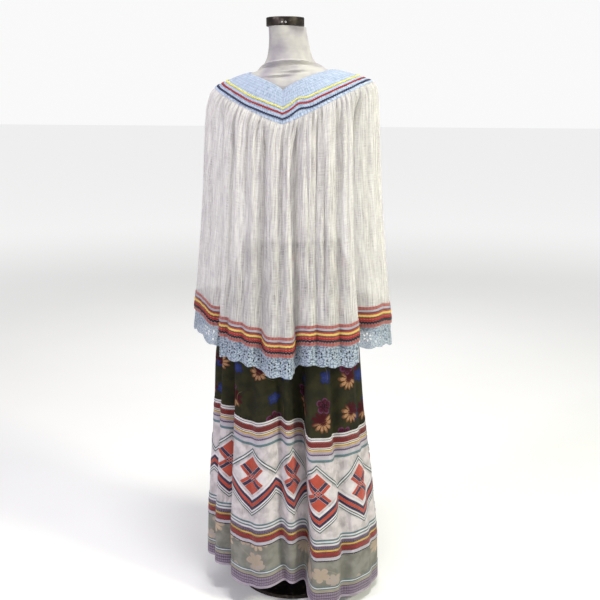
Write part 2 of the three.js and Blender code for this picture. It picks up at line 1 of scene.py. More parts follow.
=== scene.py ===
"""A patchwork skirt and a gathered gauze cape, worn by a plain limbless dress form."""
import math

import bmesh
import bpy
import numpy as np
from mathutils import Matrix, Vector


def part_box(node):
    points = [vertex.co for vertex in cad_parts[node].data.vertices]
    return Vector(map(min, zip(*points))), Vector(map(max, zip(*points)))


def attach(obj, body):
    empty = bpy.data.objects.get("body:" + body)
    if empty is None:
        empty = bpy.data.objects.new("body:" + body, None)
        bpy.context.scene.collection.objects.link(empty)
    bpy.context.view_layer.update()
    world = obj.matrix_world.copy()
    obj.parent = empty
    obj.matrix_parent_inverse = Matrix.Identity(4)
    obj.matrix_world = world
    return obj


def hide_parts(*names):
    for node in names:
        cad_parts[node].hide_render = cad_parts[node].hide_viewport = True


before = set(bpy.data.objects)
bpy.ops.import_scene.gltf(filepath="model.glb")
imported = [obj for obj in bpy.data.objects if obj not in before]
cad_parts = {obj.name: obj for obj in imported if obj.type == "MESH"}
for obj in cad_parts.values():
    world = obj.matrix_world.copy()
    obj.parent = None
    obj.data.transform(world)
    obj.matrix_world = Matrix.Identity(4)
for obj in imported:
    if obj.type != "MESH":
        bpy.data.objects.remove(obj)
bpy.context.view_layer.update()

# ---- sizes, in millimetres and degrees, one body: "root" ----
MM = 0.001
SEAM_GAP = 0.3
YOKE_WIDTH = 92
CAPE_DROP = 700
LACE_TOP = YOKE_WIDTH + CAPE_DROP - 60
TAPE_TOP = LACE_TOP - 57
LACE_DEPTH = 60
LACE_REPEATS = 40
SCALLOP = 5
WAIST_TOP = 1020
WAIST_SEAM = 975
UPPER_SEAM = 505
UPPER_BAND_END = 437
LOWER_BAND_START = 220
LOWER_SEAM = 155
HEM_BAND_START = 82
SKIRT_HEM = 30
LIFT_START = 780
STRAIGHT_SHARE = 0.7
FORM_CLEARANCE = 1.5
NECK_TOP = 1576
CAP_HEIGHT = 22
CAP_RADIUS = 49.5
CAP_BEVEL = 1.6
PIN_COUNT = 2
PIN_RADIUS = 2.4
# Share of the radius, and how far back, from the pin's back to the front of its dome.
PIN_PROFILE = ((1.0, 0.9), (1.0, -0.1), (0.82, -0.55), (0.45, -0.8), (0.06, -0.86))
POLE_RADIUS = 14
POLE_BEVEL = 0.8
BASE_EDGE = [(142, 0.0), (148.6, 0.0), (150, 1.4), (149.4, 4)]
SHOULDER_TILT = 6
# Half the thickness of each main cloth, and the near and far faces of what lies on it.
YOKE_HALF_WALL = 0.9
GAUZE_HALF_WALL = 0.55
LACE_HALF_WALL = 0.45
SKIRT_HALF_WALL = 0.8
HEM_TAPE_WALL = (0.65, 1.15)
HEM_ROW_WALL = (1.15, 1.75)
BAND_WALL = (0.9, 1.4)
BAND_ROW_WALL = (1.35, 1.95)
# Edges sharper than this many degrees stay sharp.
CLOTH_SHARP = 50
METAL_SHARP = 35

# Level, half the width, depth to the front, depth to the back, sideways shift.
FORM_LEVELS = np.array([
    (780, 140, 92, 102, 0), (840, 150, 98, 110, 0), (900, 151, 100, 108, 0), (975, 143, 99, 97, 0),
    (1020, 131, 96, 88, 0), (1075, 125, 97, 84, 0), (1170, 142, 110, 97, 0), (1265, 165, 119, 110, 0),
    (1335, 186, 112, 112, 0), (1390, 203, 100, 106, 0), (1418, 205, 92, 98, 0), (1436, 190, 86, 90, 0),
    (1448, 160, 81, 82, 0), (1460, 116, 78, 70, 0), (1474, 82, 77, 56, -2), (1490, 65, 77, 42, -4),
    (1510, 57, 75, 34, -5), (1545, 51, 77, 26, -7), (NECK_TOP, 48.5, 80, 18, -10),
], float)
# Drop below the yoke, half the width, depth to the front, depth to the back, sideways shift.
CAPE_LEVELS = np.array([
    (0, 215, 126, 130, 4), (20, 224.5, 136, 140, 2.5), (60, 233, 148, 150, 0), (150, 240, 163, 164, 0),
    (300, 247, 177, 178, 0), (500, 264, 190, 194, 0), (700, 283, 206, 210, 0),
], float)
# Angle, and the height of the lace's edge there.
CAPE_HEM = np.array([
    (-180, 712), (-130, 730), (-90, 750), (-60, 762), (-52, 756), (-46, 732), (-35, 711), (-22, 705),
    (-14, 696), (-4, 673), (9, 672), (18, 706), (42, 699), (52, 708), (60, 736), (70, 740), (92, 728),
    (140, 722),
], float)
# Trough at the top, trough at the hem, width in degrees, depth at the top, depth at the hem, lean.
CAPE_FOLDS = (
    (-47, -42, 4.0, 12, 34, 0.35), (-34, -31, 2.6, 9, 9, 0), (-23, -20, 2.8, 12, 7, 0),
    (-11, -9, 3.7, 32, 22, 0), (2, 2, 2.8, 13, 5, 0), (12, 14, 3.2, 31, 42, -0.35),
    (25, 23, 2.8, 20, 15, 0), (40, 37, 3.2, 22, 13, 0), (58, 57, 4.6, 32, 58, -0.3),
    (76, 74, 3.4, 9, 4, 0), (97, 99, 4.2, 14, 20, 0), (118, 121, 4.0, 17, 24, 0),
    (139, 141, 4.0, 14, 16, 0), (159, 161, 4.4, 19, 26, 0), (181, 183, 4.2, 15, 18, 0),
    (203, 205, 4.2, 18, 25, 0), (225, 223, 4.4, 14, 19, 0), (246, 245, 4.0, 16, 24, 0),
    (266, 267, 3.8, 12, 15, 0), (286, 287, 3.6, 9, 0, 0),
)
# Height, half the width, depth to the front, depth to the back, sideways shift.
SKIRT_LEVELS = np.array([
    (30, 256, 222, 230, 0), (155, 253, 216, 224, 0), (350, 236, 203, 210, -3), (505, 220, 188, 194, -8),
    (720, 206, 163, 168, -13), (840, 186, 142, 147, -5), (935, 163, 117, 121, -2),
    (975, 144.6, 100.6, 98.6, 0), (1020, 132.6, 97.6, 89.6, 0),
], float)
# As the cape's folds are given.
SKIRT_FOLDS = (
    (-44, -41, 5.2, 38, 60, 0.25), (-22, -16, 4.2, 12, 8, 0), (-2, 5, 5.6, 16, 48, 0),
    (15.5, 13, 4.0, 50, 24, 0), (22.5, 16, 4.0, 50, 56, 0.3), (52, 47, 4.8, 22, 20, -0.2),
    (76, 78, 5.2, 12, 6, 0),
    (98, 100, 5.6, 18, 38, 0), (124, 126, 5.4, 22, 30, 0), (150, 152, 5.8, 30, 42, 0),
    (178, 178, 5.4, 22, 30, 0), (206, 204, 5.8, 30, 40, 0), (232, 230, 5.2, 22, 32, 0),
    (258, 256, 5.6, 26, 40, 0), (284, 282, 5.2, 20, 28, 0), (303, 302, 4.6, 14, 18, 0),
)
# Angle, and how far the skirt's tiers are pulled up there.
SKIRT_LIFT = np.array([
    (-180, 18), (-130, 34), (-90, 58), (-55, 56), (-38, 46), (-15, 31), (2, 44), (12, 36), (27, -6),
    (42, -10), (60, -4), (75, -8), (100, -2), (140, 6),
], float)
# Where the diamonds' side corners are round the skirt.
PATCH_CORNERS = (-180, -150, -120, -90, -62, -35, -1, 19, 48, 88, 119, 150, 180)
NECKLINE = {
    "half": 112, "front": 100, "back": 84, "v_front": 1412, "v_back": 1438, "rise": 52, "rise_back": 26,
}
SEAM_V = {"front": 1329, "back": 1352, "rise": 101, "rise_back": 78}


# ---- curves read from the tables ----
def ease(value, low, high):
    """Rises smoothly from 0 at low to 1 at high."""
    t = np.clip((value - low) / (high - low), 0.0, 1.0)
    return t * t * (3 - 2 * t)


def mix(a, b, t):
    return a + (b - a) * t


def turn(angle):
    """An angle brought to between -180 and 180."""
    return angle - 360 * np.round(angle / 360)


def along(table, column, value):
    """A smooth curve through one column of a table, by the values of its first column."""
    x, y = table[:, 0], table[:, column]
    ends = np.arange(len(x))
    before, after = np.maximum(ends - 1, 0), np.minimum(ends + 1, len(x) - 1)
    slopes = (y[after] - y[before]) / (x[after] - x[before])
    value = np.clip(value, x[0], x[-1])
    k = np.clip(np.searchsorted(x, value) - 1, 0, len(x) - 2)
    step = x[k + 1] - x[k]
    t = (value - x[k]) / step
    rise = (2 * t**3 - 3 * t**2 + 1) * y[k] + (3 * t**2 - 2 * t**3) * y[k + 1]
    return rise + step * ((t**3 - 2 * t**2 + t) * slopes[k] + (t**3 - t**2) * slopes[k + 1])


def around(table, angle):
    """A table's value at an angle, eased from row to row all the way round."""
    at = np.append(table[:, 0], table[0, 0] + 360)
    value = np.append(table[:, 1], table[0, 1])
    angle = turn(angle)
    angle = np.where(angle < at[0], angle + 360, angle)
    k = np.clip(np.searchsorted(at, angle) - 1, 0, len(at) - 2)
    return mix(value[k], value[k + 1], ease(angle, at[k], at[k + 1]))


def wander(x, seed, count=5):
    """A slow uneven wave between about -1 and 1."""
    rng = np.random.default_rng(seed)
    total = np.zeros_like(x, dtype=float)
    for k in range(count):
        turns = x * rng.uniform(0.4, 1.7) * (1 + k) * 0.5
        total += np.sin(turns + rng.uniform(0, 2 * math.pi)) / (1 + 0.5 * k)
    return total / 2.4


def oval(half, front, back, angle):
    """A place round an egg-shaped section. Angle 0 is the front, and 90 its left side."""
    turned = np.radians(angle)
    c = np.cos(turned)
    return half * np.sin(turned), np.where(c > 0, -front * c, -back * c)


def shoulder_lift(x, z):
    """How far one shoulder stands above the level, or below it on the other side."""
    return SHOULDER_TILT * (x / 200) * ease(z, 1150, 1400) * (1 - ease(z, 1465, 1510))


def folded(half, front, back, side, angle, z, folds, t, share):
    """Points on an oval, moved inwards and sideways by a table of folds."""
    x, y = oval(half, front, back, angle)
    out_x, out_y = x / half**2, y / np.where(y < 0, front, back) ** 2
    size = np.hypot(out_x, out_y)
    out_x, out_y = out_x / size, out_y / size
    inwards = np.zeros_like(x)
    sideways = np.zeros_like(x)
    for top, hem, wide, deep_top, deep_hem, lean in folds:
        depth = mix(deep_top, deep_hem, t) * np.exp(-((turn(angle - mix(top, hem, t)) / wide) ** 2))
        inwards += share * depth
        sideways += share * lean * depth
    x = x - out_x * inwards - out_y * sideways + side
    y = y - out_y * inwards + out_x * sideways
    return np.stack([x, y, z + 0 * x], axis=-1)


def clear_of_form(points):
    """Moves points sideways until they are clear of the form."""
    x, y, z = points[..., 0], points[..., 1], points[..., 2]
    level = z - shoulder_lift(x, z) - FORM_CLEARANCE
    half, front, back, side = (np.interp(level, FORM_LEVELS[:, 0], FORM_LEVELS[:, k]) for k in (1, 2, 3, 4))
    depth = np.where(y < 0, front, back)
    reach = np.hypot((x - side) / (half + FORM_CLEARANCE), y / (depth + FORM_CLEARANCE))
    push = 1 / np.minimum(1, np.maximum(reach, 0.2))
    return np.stack([(x - side) * push + side, y * push, z], axis=-1)


def seam_height(angle):
    """The height of the seam between the yoke and the gauze."""
    s = np.abs(np.sin(np.radians(angle)))
    front = np.cos(np.radians(angle)) > 0
    rise = np.where(front, SEAM_V["rise"], SEAM_V["rise_back"])
    return np.where(front, SEAM_V["front"], SEAM_V["back"]) + rise * s**1.15


def neckline_height(angle):
    s = np.abs(np.sin(np.radians(angle)))
    front = np.cos(np.radians(angle)) > 0
    rise = np.where(front, NECKLINE["rise"], NECKLINE["rise_back"])
    return np.where(front, NECKLINE["v_front"], NECKLINE["v_back"]) + rise * s**0.7


def yoke_surface(angle, down):
    """The yoke is a mitred strip: a V in front and a shallow V behind. Down is 0 at the neckline."""
    v = np.clip(down / YOKE_WIDTH, 0, 1)
    edge = CAPE_LEVELS[0]
    sizes = [mix(NECKLINE[name], edge[k], v) for name, k in (("half", 1), ("front", 2), ("back", 3))]
    x, y = oval(*sizes, angle)
    z = mix(neckline_height(angle), seam_height(angle), v**1.35)
    return clear_of_form(np.stack([x + edge[4] * v, y, z + shoulder_lift(x, z)], axis=-1))


def cape_surface(angle, down):
    """The cape's middle surface, yoke included."""
    angle, down = np.broadcast_arrays(np.asarray(angle, float), np.asarray(down, float))
    drop = np.maximum(down - YOKE_WIDTH, 0)
    t = drop / CAPE_DROP
    half, front, back, side = (along(CAPE_LEVELS, k, drop) for k in (1, 2, 3, 4))
    seam = seam_height(angle)
    lift = shoulder_lift(half * np.sin(np.radians(angle)), seam)
    z = mix(seam + lift, around(CAPE_HEM, angle), t)
    hanging = folded(half, front, back, side, angle, z, CAPE_FOLDS, t, ease(drop, 0, 90))
    return np.where((down <= YOKE_WIDTH)[..., None], yoke_surface(angle, down), hanging)


def skirt_surface(angle, z):
    """The skirt's middle surface, by height before the tiers are pulled up."""
    angle, z = np.broadcast_arrays(np.asarray(angle, float), np.asarray(z, float))
    half, front, back, side = (along(SKIRT_LEVELS, k, z) for k in (1, 2, 3, 4))
    t = STRAIGHT_SHARE * ease(-z, -WAIST_SEAM, -UPPER_SEAM)
    t = t + (1 - STRAIGHT_SHARE) * ease(-z, -LOWER_SEAM, -SKIRT_HEM)
    lift = around(SKIRT_LIFT, angle) * ease(-z, -LIFT_START, -UPPER_SEAM)
    return folded(half, front, back, side, angle, z + lift, SKIRT_FOLDS, t, ease(-z, -WAIST_SEAM + 5, -740))


def form_surface(angle, z):
    """The form's surface, without the creases of its knit cover."""
    angle, z = np.broadcast_arrays(np.asarray(angle, float), np.asarray(z, float))
    half, front, back, side = (along(FORM_LEVELS, k, z) for k in (1, 2, 3, 4))
    x, y = oval(half, front, back, angle)
    return np.stack([x + side, y, z + shoulder_lift(x, z)], axis=-1)


def placed(name, mesh, material=None, sharp=None):
    """A mesh as an object at the origin, smooth but for edges sharper than the angle given."""
    mesh.shade_smooth()
    if sharp is not None:
        mesh.set_sharp_from_angle(angle=math.radians(sharp))
    if material:
        mesh.materials.append(material)
    made = bpy.data.objects.new(name, mesh)
    bpy.context.scene.collection.objects.link(made)
    return made


# ---- cloth and the pieces cut from it ----
class Cloth:
    """A sheet: its middle surface and the fine relief that lies on it, in millimetres."""

    reach_round = 0.5
    reach_down = 3.0

    def __init__(self, surface, level, relief=None, rising=1):
        self.surface = surface
        self.relief = relief or (lambda angle, level: 0 * angle)
        self.rising = rising
        self.marks = np.linspace(-180, 180, 2881)
        line = surface(self.marks, np.full_like(self.marks, level))
        steps = np.linalg.norm(np.diff(line, axis=0), axis=1)
        self.lengths = np.append(0, np.cumsum(steps))

    @property
    def total(self):
        return self.lengths[-1]

    def length_at(self, angle):
        """How far round the cloth an angle is."""
        turns = np.floor((angle + 180) / 360)
        return turns * self.total + np.interp(angle - 360 * turns, self.marks, self.lengths)

    def angle_at(self, length):
        turns = np.floor(length / self.total)
        return turns * 360 + np.interp(length - turns * self.total, self.lengths, self.marks)

    def evenly(self, start, end, count, closed=False):
        """Angles a constant length of cloth apart. Closed leaves out the last, for a ring."""
        first, last = self.length_at(start), self.length_at(end)
        return self.angle_at(np.linspace(first, last, count, endpoint=not closed))

    def lay(self, angle, level):
        """Where the cloth is, and the way out of it."""
        a, b = self.reach_round, self.reach_down
        round_it = self.surface(angle + a, level) - self.surface(angle - a, level)
        down = self.surface(angle, level + b) - self.surface(angle, level - b)
        down = down * np.where(down[..., 2:] > 0, -1, 1)
        out = np.cross(down, round_it)
        out /= np.maximum(np.linalg.norm(out, axis=-1, keepdims=True), 1e-9)
        return self.surface(angle, level) + out * self.relief(angle, level)[..., None], out


class Piece:
    """Gathers walls of cloth into one mesh with a map of the flat cloth, in metres."""

    def __init__(self):
        self.points, self.faces, self.maps = [], [], []
        self.size = 0

    def add(self, points, faces, maps):
        self.points.append(points)
        self.faces.append(faces + self.size)
        self.maps.append(maps)
        self.size += len(points)

    def wall(self, cloth, angle, level, low, high, ring=False, keep=None):
        """A wall on the cloth from the offset low to the offset high. Rows run down it."""
        here, out = cloth.lay(angle, level)
        offset = np.stack([np.broadcast_to(high, angle.shape), np.broadcast_to(low, angle.shape)])
        points = (here[None] + out[None] * offset[..., None]).reshape(-1, 3)
        rows, columns = angle.shape
        u = cloth.length_at(angle)
        v = cloth.rising * level + 0 * angle
        if ring:
            u = np.hstack([u, u[:, :1] + cloth.total])
            v = np.hstack([v, v[:, :1]])
        flat = np.stack([u, v], axis=-1) * MM
        cells = columns if ring else columns - 1
        keep = np.ones((rows - 1, cells), bool) if keep is None else keep
        j, i = np.nonzero(keep)

        def corner(down, right, side):
            return (side * rows + j + down) * columns + (i + right) % columns

        def place(down, right):
            return flat[j + down, i + right]

        top_left, low_left, low_right, top_right = (0, 0), (1, 0), (1, 1), (0, 1)
        sides = [((top_left, low_left, low_right, top_right), (0, 0, 0, 0), np.ones(len(j), bool))]
        sides.append(((top_left, top_right, low_right, low_left), (1, 1, 1, 1), np.ones(len(j), bool)))

        def bare(down, right):
            jj, ii = j + down, i + right
            inside = (jj >= 0) & (jj < rows - 1)
            if ring:
                ii = ii % cells
            else:
                inside &= (ii >= 0) & (ii < cells)
            return ~(inside & keep[np.clip(jj, 0, rows - 2), np.clip(ii, 0, cells - 1)])

        sides.append(((top_left, top_right, top_right, top_left), (0, 0, 1, 1), bare(-1, 0)))
        sides.append(((low_left, low_left, low_right, low_right), (0, 1, 1, 0), bare(1, 0)))
        sides.append(((top_left, top_left, low_left, low_left), (0, 1, 1, 0), bare(0, -1)))
        sides.append(((top_right, low_right, low_right, top_right), (0, 0, 1, 1), bare(0, 1)))
        faces = []
        maps = []
        for corners, walls, chosen in sides:
            faces.append(np.stack([corner(*c, w)[chosen] for c, w in zip(corners, walls)], axis=1))
            maps.append(np.stack([place(*c)[chosen] for c in corners], axis=1))
        faces, maps = np.concatenate(faces), np.concatenate(maps)
        used, faces = np.unique(faces, return_inverse=True)
        self.add(points[used] * MM, faces.reshape(-1, 4), maps)

    def build(self, name, material):
        points = np.concatenate(self.points)
        faces = np.concatenate(self.faces)
        mesh = bpy.data.meshes.new(name)
        mesh.from_pydata(points.tolist(), [], faces.tolist())
        flat = mesh.uv_layers.new(name="cloth")
        flat.uv.foreach_set("vector", np.concatenate(self.maps).astype(np.float32).ravel())
        return placed(name, mesh, material, CLOTH_SHARP)


def own(piece, slot, *nodes):
    """Puts a finished piece on the body and hides the model's parts that it stands in for."""
    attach(piece, "root")
    if nodes:
        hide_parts(*nodes)
    return piece


def grid(angles, levels):
    """The angle and the level of every crossing, with a row to each level."""
    return np.meshgrid(np.asarray(angles, float), np.asarray(levels, float))


def ring_piece(name, cloth, angles, levels, low, high, material):
    """A closed ring of cloth."""
    piece = Piece()
    angle, level = grid(angles, levels)
    piece.wall(cloth, angle, level, low, high, ring=True)
    return piece.build(name, material)


# ---- finishes ----
def shade(code):
    """A linear colour from six hexadecimal digits."""
    parts = [int(code[k:k + 2], 16) / 255 for k in (0, 2, 4)]
    return tuple(p / 12.92 if p <= 0.04045 else ((p + 0.055) / 1.055) ** 2.4 for p in parts) + (1.0,)


def feed(tree, socket, value):
    """Links another node's socket to this one, or gives it a plain value."""
    if isinstance(value, bpy.types.NodeSocket):
        tree.links.new(value, socket)
    else:
        socket.default_value = value


def add_node(tree, kind, inputs, output=0, **settings):
    """Adds a node, feeds its inputs, and gives one of its outputs."""
    made = tree.nodes.new(kind)
    for key, value in settings.items():
        setattr(made, key, value)
    for key, value in inputs.items():
        feed(tree, made.inputs[key], value)
    return made.outputs[output]


class Finish:
    """A material's nodes, made by short calls."""

    def __init__(self, name, roughness, sheen=0.0, metallic=0.0):
        self.material = bpy.data.materials.new(name)
        self.material.use_nodes = True
        self.tree = self.material.node_tree
        self.shader = self.tree.nodes["Principled BSDF"]
        self.shader.inputs["Roughness"].default_value = roughness
        self.shader.inputs["Metallic"].default_value = metallic
        self.shader.inputs["Sheen Weight"].default_value = sheen
        self.shader.inputs["Sheen Roughness"].default_value = 0.5

    def feed(self, socket, value):
        feed(self.tree, socket, value)

    def node(self, kind, inputs, output=0, **settings):
        return add_node(self.tree, "ShaderNode" + kind, inputs, output, **settings)

    def math(self, operation, a, b=0.0, c=0.0):
        return self.node("Math", {0: a, 1: b, 2: c}, operation=operation)

    def vector(self, operation, a, b=(0, 0, 0)):
        return self.node("VectorMath", {0: a, 1: b}, operation=operation)

    def flat(self):
        return self.node("UVMap", {}, uv_map="cloth")

    def place(self):
        return self.node("TexCoord", {}, output="Object")

    def scaled(self, vector, size):
        return self.vector("MULTIPLY", vector, size)

    def noise(self, vector, scale=1.0, detail=2.0):
        return self.node("TexNoise", {"Vector": vector, "Scale": scale, "Detail": detail}, output="Fac")

    def step(self, value, low, high):
        """Rises smoothly from 0 at low to 1 at high."""
        inputs = {"Value": value, "From Min": low, "From Max": high}
        return self.node("MapRange", inputs, interpolation_type="SMOOTHSTEP")

    def between(self, value, low, high):
        """Runs straight from low to high as the value goes from 0 to 1."""
        return self.node("MapRange", {"Value": value, "To Min": low, "To Max": high})

    def blend(self, share, a, b):
        return self.node("Mix", {0: share, 6: a, 7: b}, output=2, data_type="RGBA")

    def split(self, vector):
        made = self.tree.nodes.new("ShaderNodeSeparateXYZ")
        self.feed(made.inputs[0], vector)
        return made.outputs

    def weave(self, flat, pitch):
        """Threads over and under each other, between -1 and 1."""
        x, y, _ = self.split(self.scaled(flat, (2 * math.pi / pitch, 2 * math.pi / pitch, 1)))
        return self.math("MULTIPLY", self.math("SINE", x), self.math("SINE", y))

    def bump(self, height, distance, strength=1.0):
        inputs = {"Strength": strength, "Distance": distance, "Height": height}
        if self.shader.inputs["Normal"].is_linked:
            inputs["Normal"] = self.shader.inputs["Normal"].links[0].from_socket
        self.feed(self.shader.inputs["Normal"], self.node("Bump", inputs))

    def colour(self, value):
        self.feed(self.shader.inputs["Base Color"], value)
        return self


def cotton(name, code, dark=0.8, thread=0.0011, roughness=0.85, sheen=0.2, wrinkle=0.0012):
    """Plain woven cotton in one colour, a little uneven and creased."""
    made = Finish(name, roughness, sheen)
    flat = made.flat()
    main = shade(code)
    deep = tuple(dark * c for c in main[:3]) + (1.0,)
    pale = tuple(min(1, c * 1.12 + 0.01) for c in main[:3]) + (1.0,)
    broad = made.noise(flat, 34, 4)
    fine = made.noise(made.scaled(flat, (1400, 500, 1)), 1, 2)
    tone = made.blend(made.step(broad, 0.36, 0.64), deep, main)
    tone = made.blend(made.math("MULTIPLY", made.step(fine, 0.45, 0.75), 0.6), tone, pale)
    made.colour(tone)
    made.bump(made.noise(made.scaled(flat, (60, 26, 1)), 1, 3), wrinkle)
    made.bump(made.weave(flat, thread), 0.00012)
    return made.material


def braid(name, code, trough_shade):
    """Woven braid whose yarns run aslant, with painted shade in the troughs between its yarns: a darker copy
    of its colour, which random patches also lean towards.
    """
    made = Finish(name, 0.75, 0.08)
    flat = made.flat()
    x, y, _ = made.split(flat)
    aslant = made.math("SINE", made.math("MULTIPLY", made.math("ADD", x, y), 2 * math.pi / 0.0013))
    other = made.math("SINE", made.math("MULTIPLY", made.math("SUBTRACT", x, y), 2 * math.pi / 0.0013))
    yarns = made.math("MAXIMUM", aslant, other)
    uneven = made.noise(flat, 90, 3)
    # Painted shade: the troughs between the yarns take the darker trough colour, and the crowns take the
    # braid's own colour.
    tone = made.blend(made.step(yarns, -0.2, 0.7), shade(trough_shade), shade(code))
    made.colour(made.blend(made.math("MULTIPLY", uneven, 0.35), tone, shade(trough_shade)))
    made.bump(yarns, 0.0003)
    return made.material


def dotted_tape(name, ground, dots, pitch=0.0075, rows=0.0045):
    """Woven tape with rows of small lozenges."""
    made = Finish(name, 0.75, 0.2)
    flat = made.flat()
    x, y, _ = made.split(made.scaled(flat, (math.pi / pitch, math.pi / rows, 1)))
    across = made.math("ABSOLUTE", made.math("SINE", x))
    lozenge = made.math("MULTIPLY", across, made.math("ABSOLUTE", made.math("SINE", y)))
    shown = made.step(lozenge, 0.45, 0.7)
    tone = made.blend(shown, shade(ground), shade(dots))
    uneven = made.step(made.noise(flat, 260, 3), 0.35, 0.7)
    made.colour(made.blend(made.math("MULTIPLY", uneven, 0.4), tone, shade(ground)))
    made.bump(shown, 0.0004)
    made.bump(made.weave(flat, 0.0010), 0.00012)
    return made.material


def gauze():
    """Thin crinkled cotton. Its crinkles run down the cloth, and dark cloth shows faintly through it."""
    made = Finish("crinkled_gauze", 0.9, 0.15)
    flat = made.flat()
    crinkle = made.noise(made.scaled(flat, (270, 15, 1)), 1, 4)
    broad = made.noise(made.scaled(flat, (70, 5, 1)), 1, 3)
    slub = made.noise(made.scaled(flat, (50, 620, 1)), 1, 2)
    patchy = made.noise(made.scaled(flat, (14, 9, 1)), 1, 3)
    tone = made.blend(made.step(crinkle, 0.3, 0.7), shade("ebe7e8"), shade("fbf9f6"))
    tone = made.blend(made.math("MULTIPLY", made.step(slub, 0.45, 0.75), 0.5), tone, shade("fcfbf8"))
    made.colour(made.blend(made.math("MULTIPLY", made.step(broad, 0.5, 0.75), 0.4), tone, shade("dcd8d8")))
    cover = made.math("ADD", made.between(crinkle, 0.10, 0.66), made.between(patchy, -0.10, 0.10))
    cover = made.math("ADD", cover, made.between(slub, -0.12, 0.16))
    made.feed(made.shader.inputs["Alpha"], cover)
    made.bump(broad, 0.006, 0.8)
    made.bump(crinkle, 0.003, 0.9)
    made.bump(made.weave(flat, 0.0014), 0.00015)
    return made.material


def shirred_cotton():
    """Light blue cotton drawn up in fine upright gathers, with painted shade in the troughs of the gathers
    and along the drawn-in rows of shirring.
    """
    made = Finish("shirred_blue_cotton", 0.85, 0.25)
    flat = made.flat()
    streaks = made.noise(made.scaled(flat, (430, 60, 1)), 1, 3)
    _, down, _ = made.split(flat)
    rows = made.math("ABSOLUTE", made.math("SINE", made.math("MULTIPLY", down, math.pi / 0.0078)))
    # Painted shade: the troughs of the gathers take the darker blue, and their crowns the paler one.
    tone = made.blend(made.step(streaks, 0.32, 0.66), shade("8f9fb8"), shade("b9c6da"))
    # Painted shade along each row of shirring, where the cloth is drawn in.
    made.colour(made.blend(made.step(rows, 0.3, 0.0), tone, shade("8393ad")))
    made.bump(streaks, 0.0016, 0.8)
    made.bump(rows, 0.0005)
    made.bump(made.weave(flat, 0.0010), 0.00012)
    return made.material


def lace_net():
    """Light blue lace: a fine net with dense leaves and rings in it."""
    made = Finish("blue_lace", 0.8, 0.3)
    flat = made.flat()
    swirl = made.node("TexNoise", {"Vector": flat, "Scale": 60.0}, output="Color")
    bent = made.vector("ADD", flat, made.scaled(swirl, (0.006, 0.006, 0)))
    cells = made.node("TexVoronoi", {"Vector": flat, "Scale": 380.0}, voronoi_dimensions="2D")
    net = made.step(cells, 0.2, 0.34)
    leaf = made.node("TexVoronoi", {"Vector": made.scaled(bent, (1, 1.2, 1)), "Scale": 165.0},
                     voronoi_dimensions="2D")
    ring = made.math("ABSOLUTE", made.math("SUBTRACT", leaf, 0.28))
    dense = made.step(ring, 0.16, 0.1)
    heart = made.step(leaf, 0.1, 0.06)
    solid = made.math("MAXIMUM", dense, heart)
    made.feed(made.shader.inputs["Alpha"], made.math("MAXIMUM", made.math("MULTIPLY", net, 0.74), solid))
    tone = made.blend(solid, shade("8c9eb4"), shade("bdcad8"))
    faded = made.math("MULTIPLY", made.step(made.noise(flat, 30, 3), 0.45, 0.7), 0.5)
    tone = made.blend(faded, tone, shade("a5b4c8"))
    made.colour(tone)
    made.bump(made.math("ADD", made.math("MULTIPLY", net, 0.5), solid), 0.0008)
    return made.material


def flower_layer(made, flat, size, seed, petals, reach):
    """Scattered flowers, one to a cell: how far out each spot is in its flower, and that flower's number."""
    moved = made.vector("ADD", made.scaled(flat, (1 / size, 1 / size, 0)), (seed * 3.7, seed * 5.3, 0))
    cell = made.tree.nodes.new("ShaderNodeTexVoronoi")
    cell.voronoi_dimensions = "2D"
    cell.inputs["Scale"].default_value = 1.0
    cell.inputs["Randomness"].default_value = 0.75
    made.feed(cell.inputs["Vector"], moved)
    local = made.vector("SUBTRACT", moved, cell.outputs["Position"])
    x, y, _ = made.split(local)
    number, other, _ = made.split(cell.outputs["Color"])
    spin = made.math("MULTIPLY", number, 6.28)
    turned = made.math("ADD", made.math("ARCTAN2", y, x), spin)
    wave = made.math("ABSOLUTE", made.math("SINE", made.math("MULTIPLY", turned, petals / 2)))
    lobes = made.math("ADD", made.math("MULTIPLY", made.math("POWER", wave, 0.6), 0.5), 0.5)
    squashed = made.math("MULTIPLY", made.math("MULTIPLY", y, y), 1.5)
    away = made.math("SQRT", made.math("ADD", made.math("MULTIPLY", x, x), squashed))
    ragged = made.between(made.noise(made.scaled(flat, (130, 130, 1)), 1, 2), -0.12, 0.12)
    edge = made.math("MULTIPLY", made.math("ADD", lobes, ragged), reach)
    return made.math("DIVIDE", away, edge), other, wave, made.math("SINE", turned)


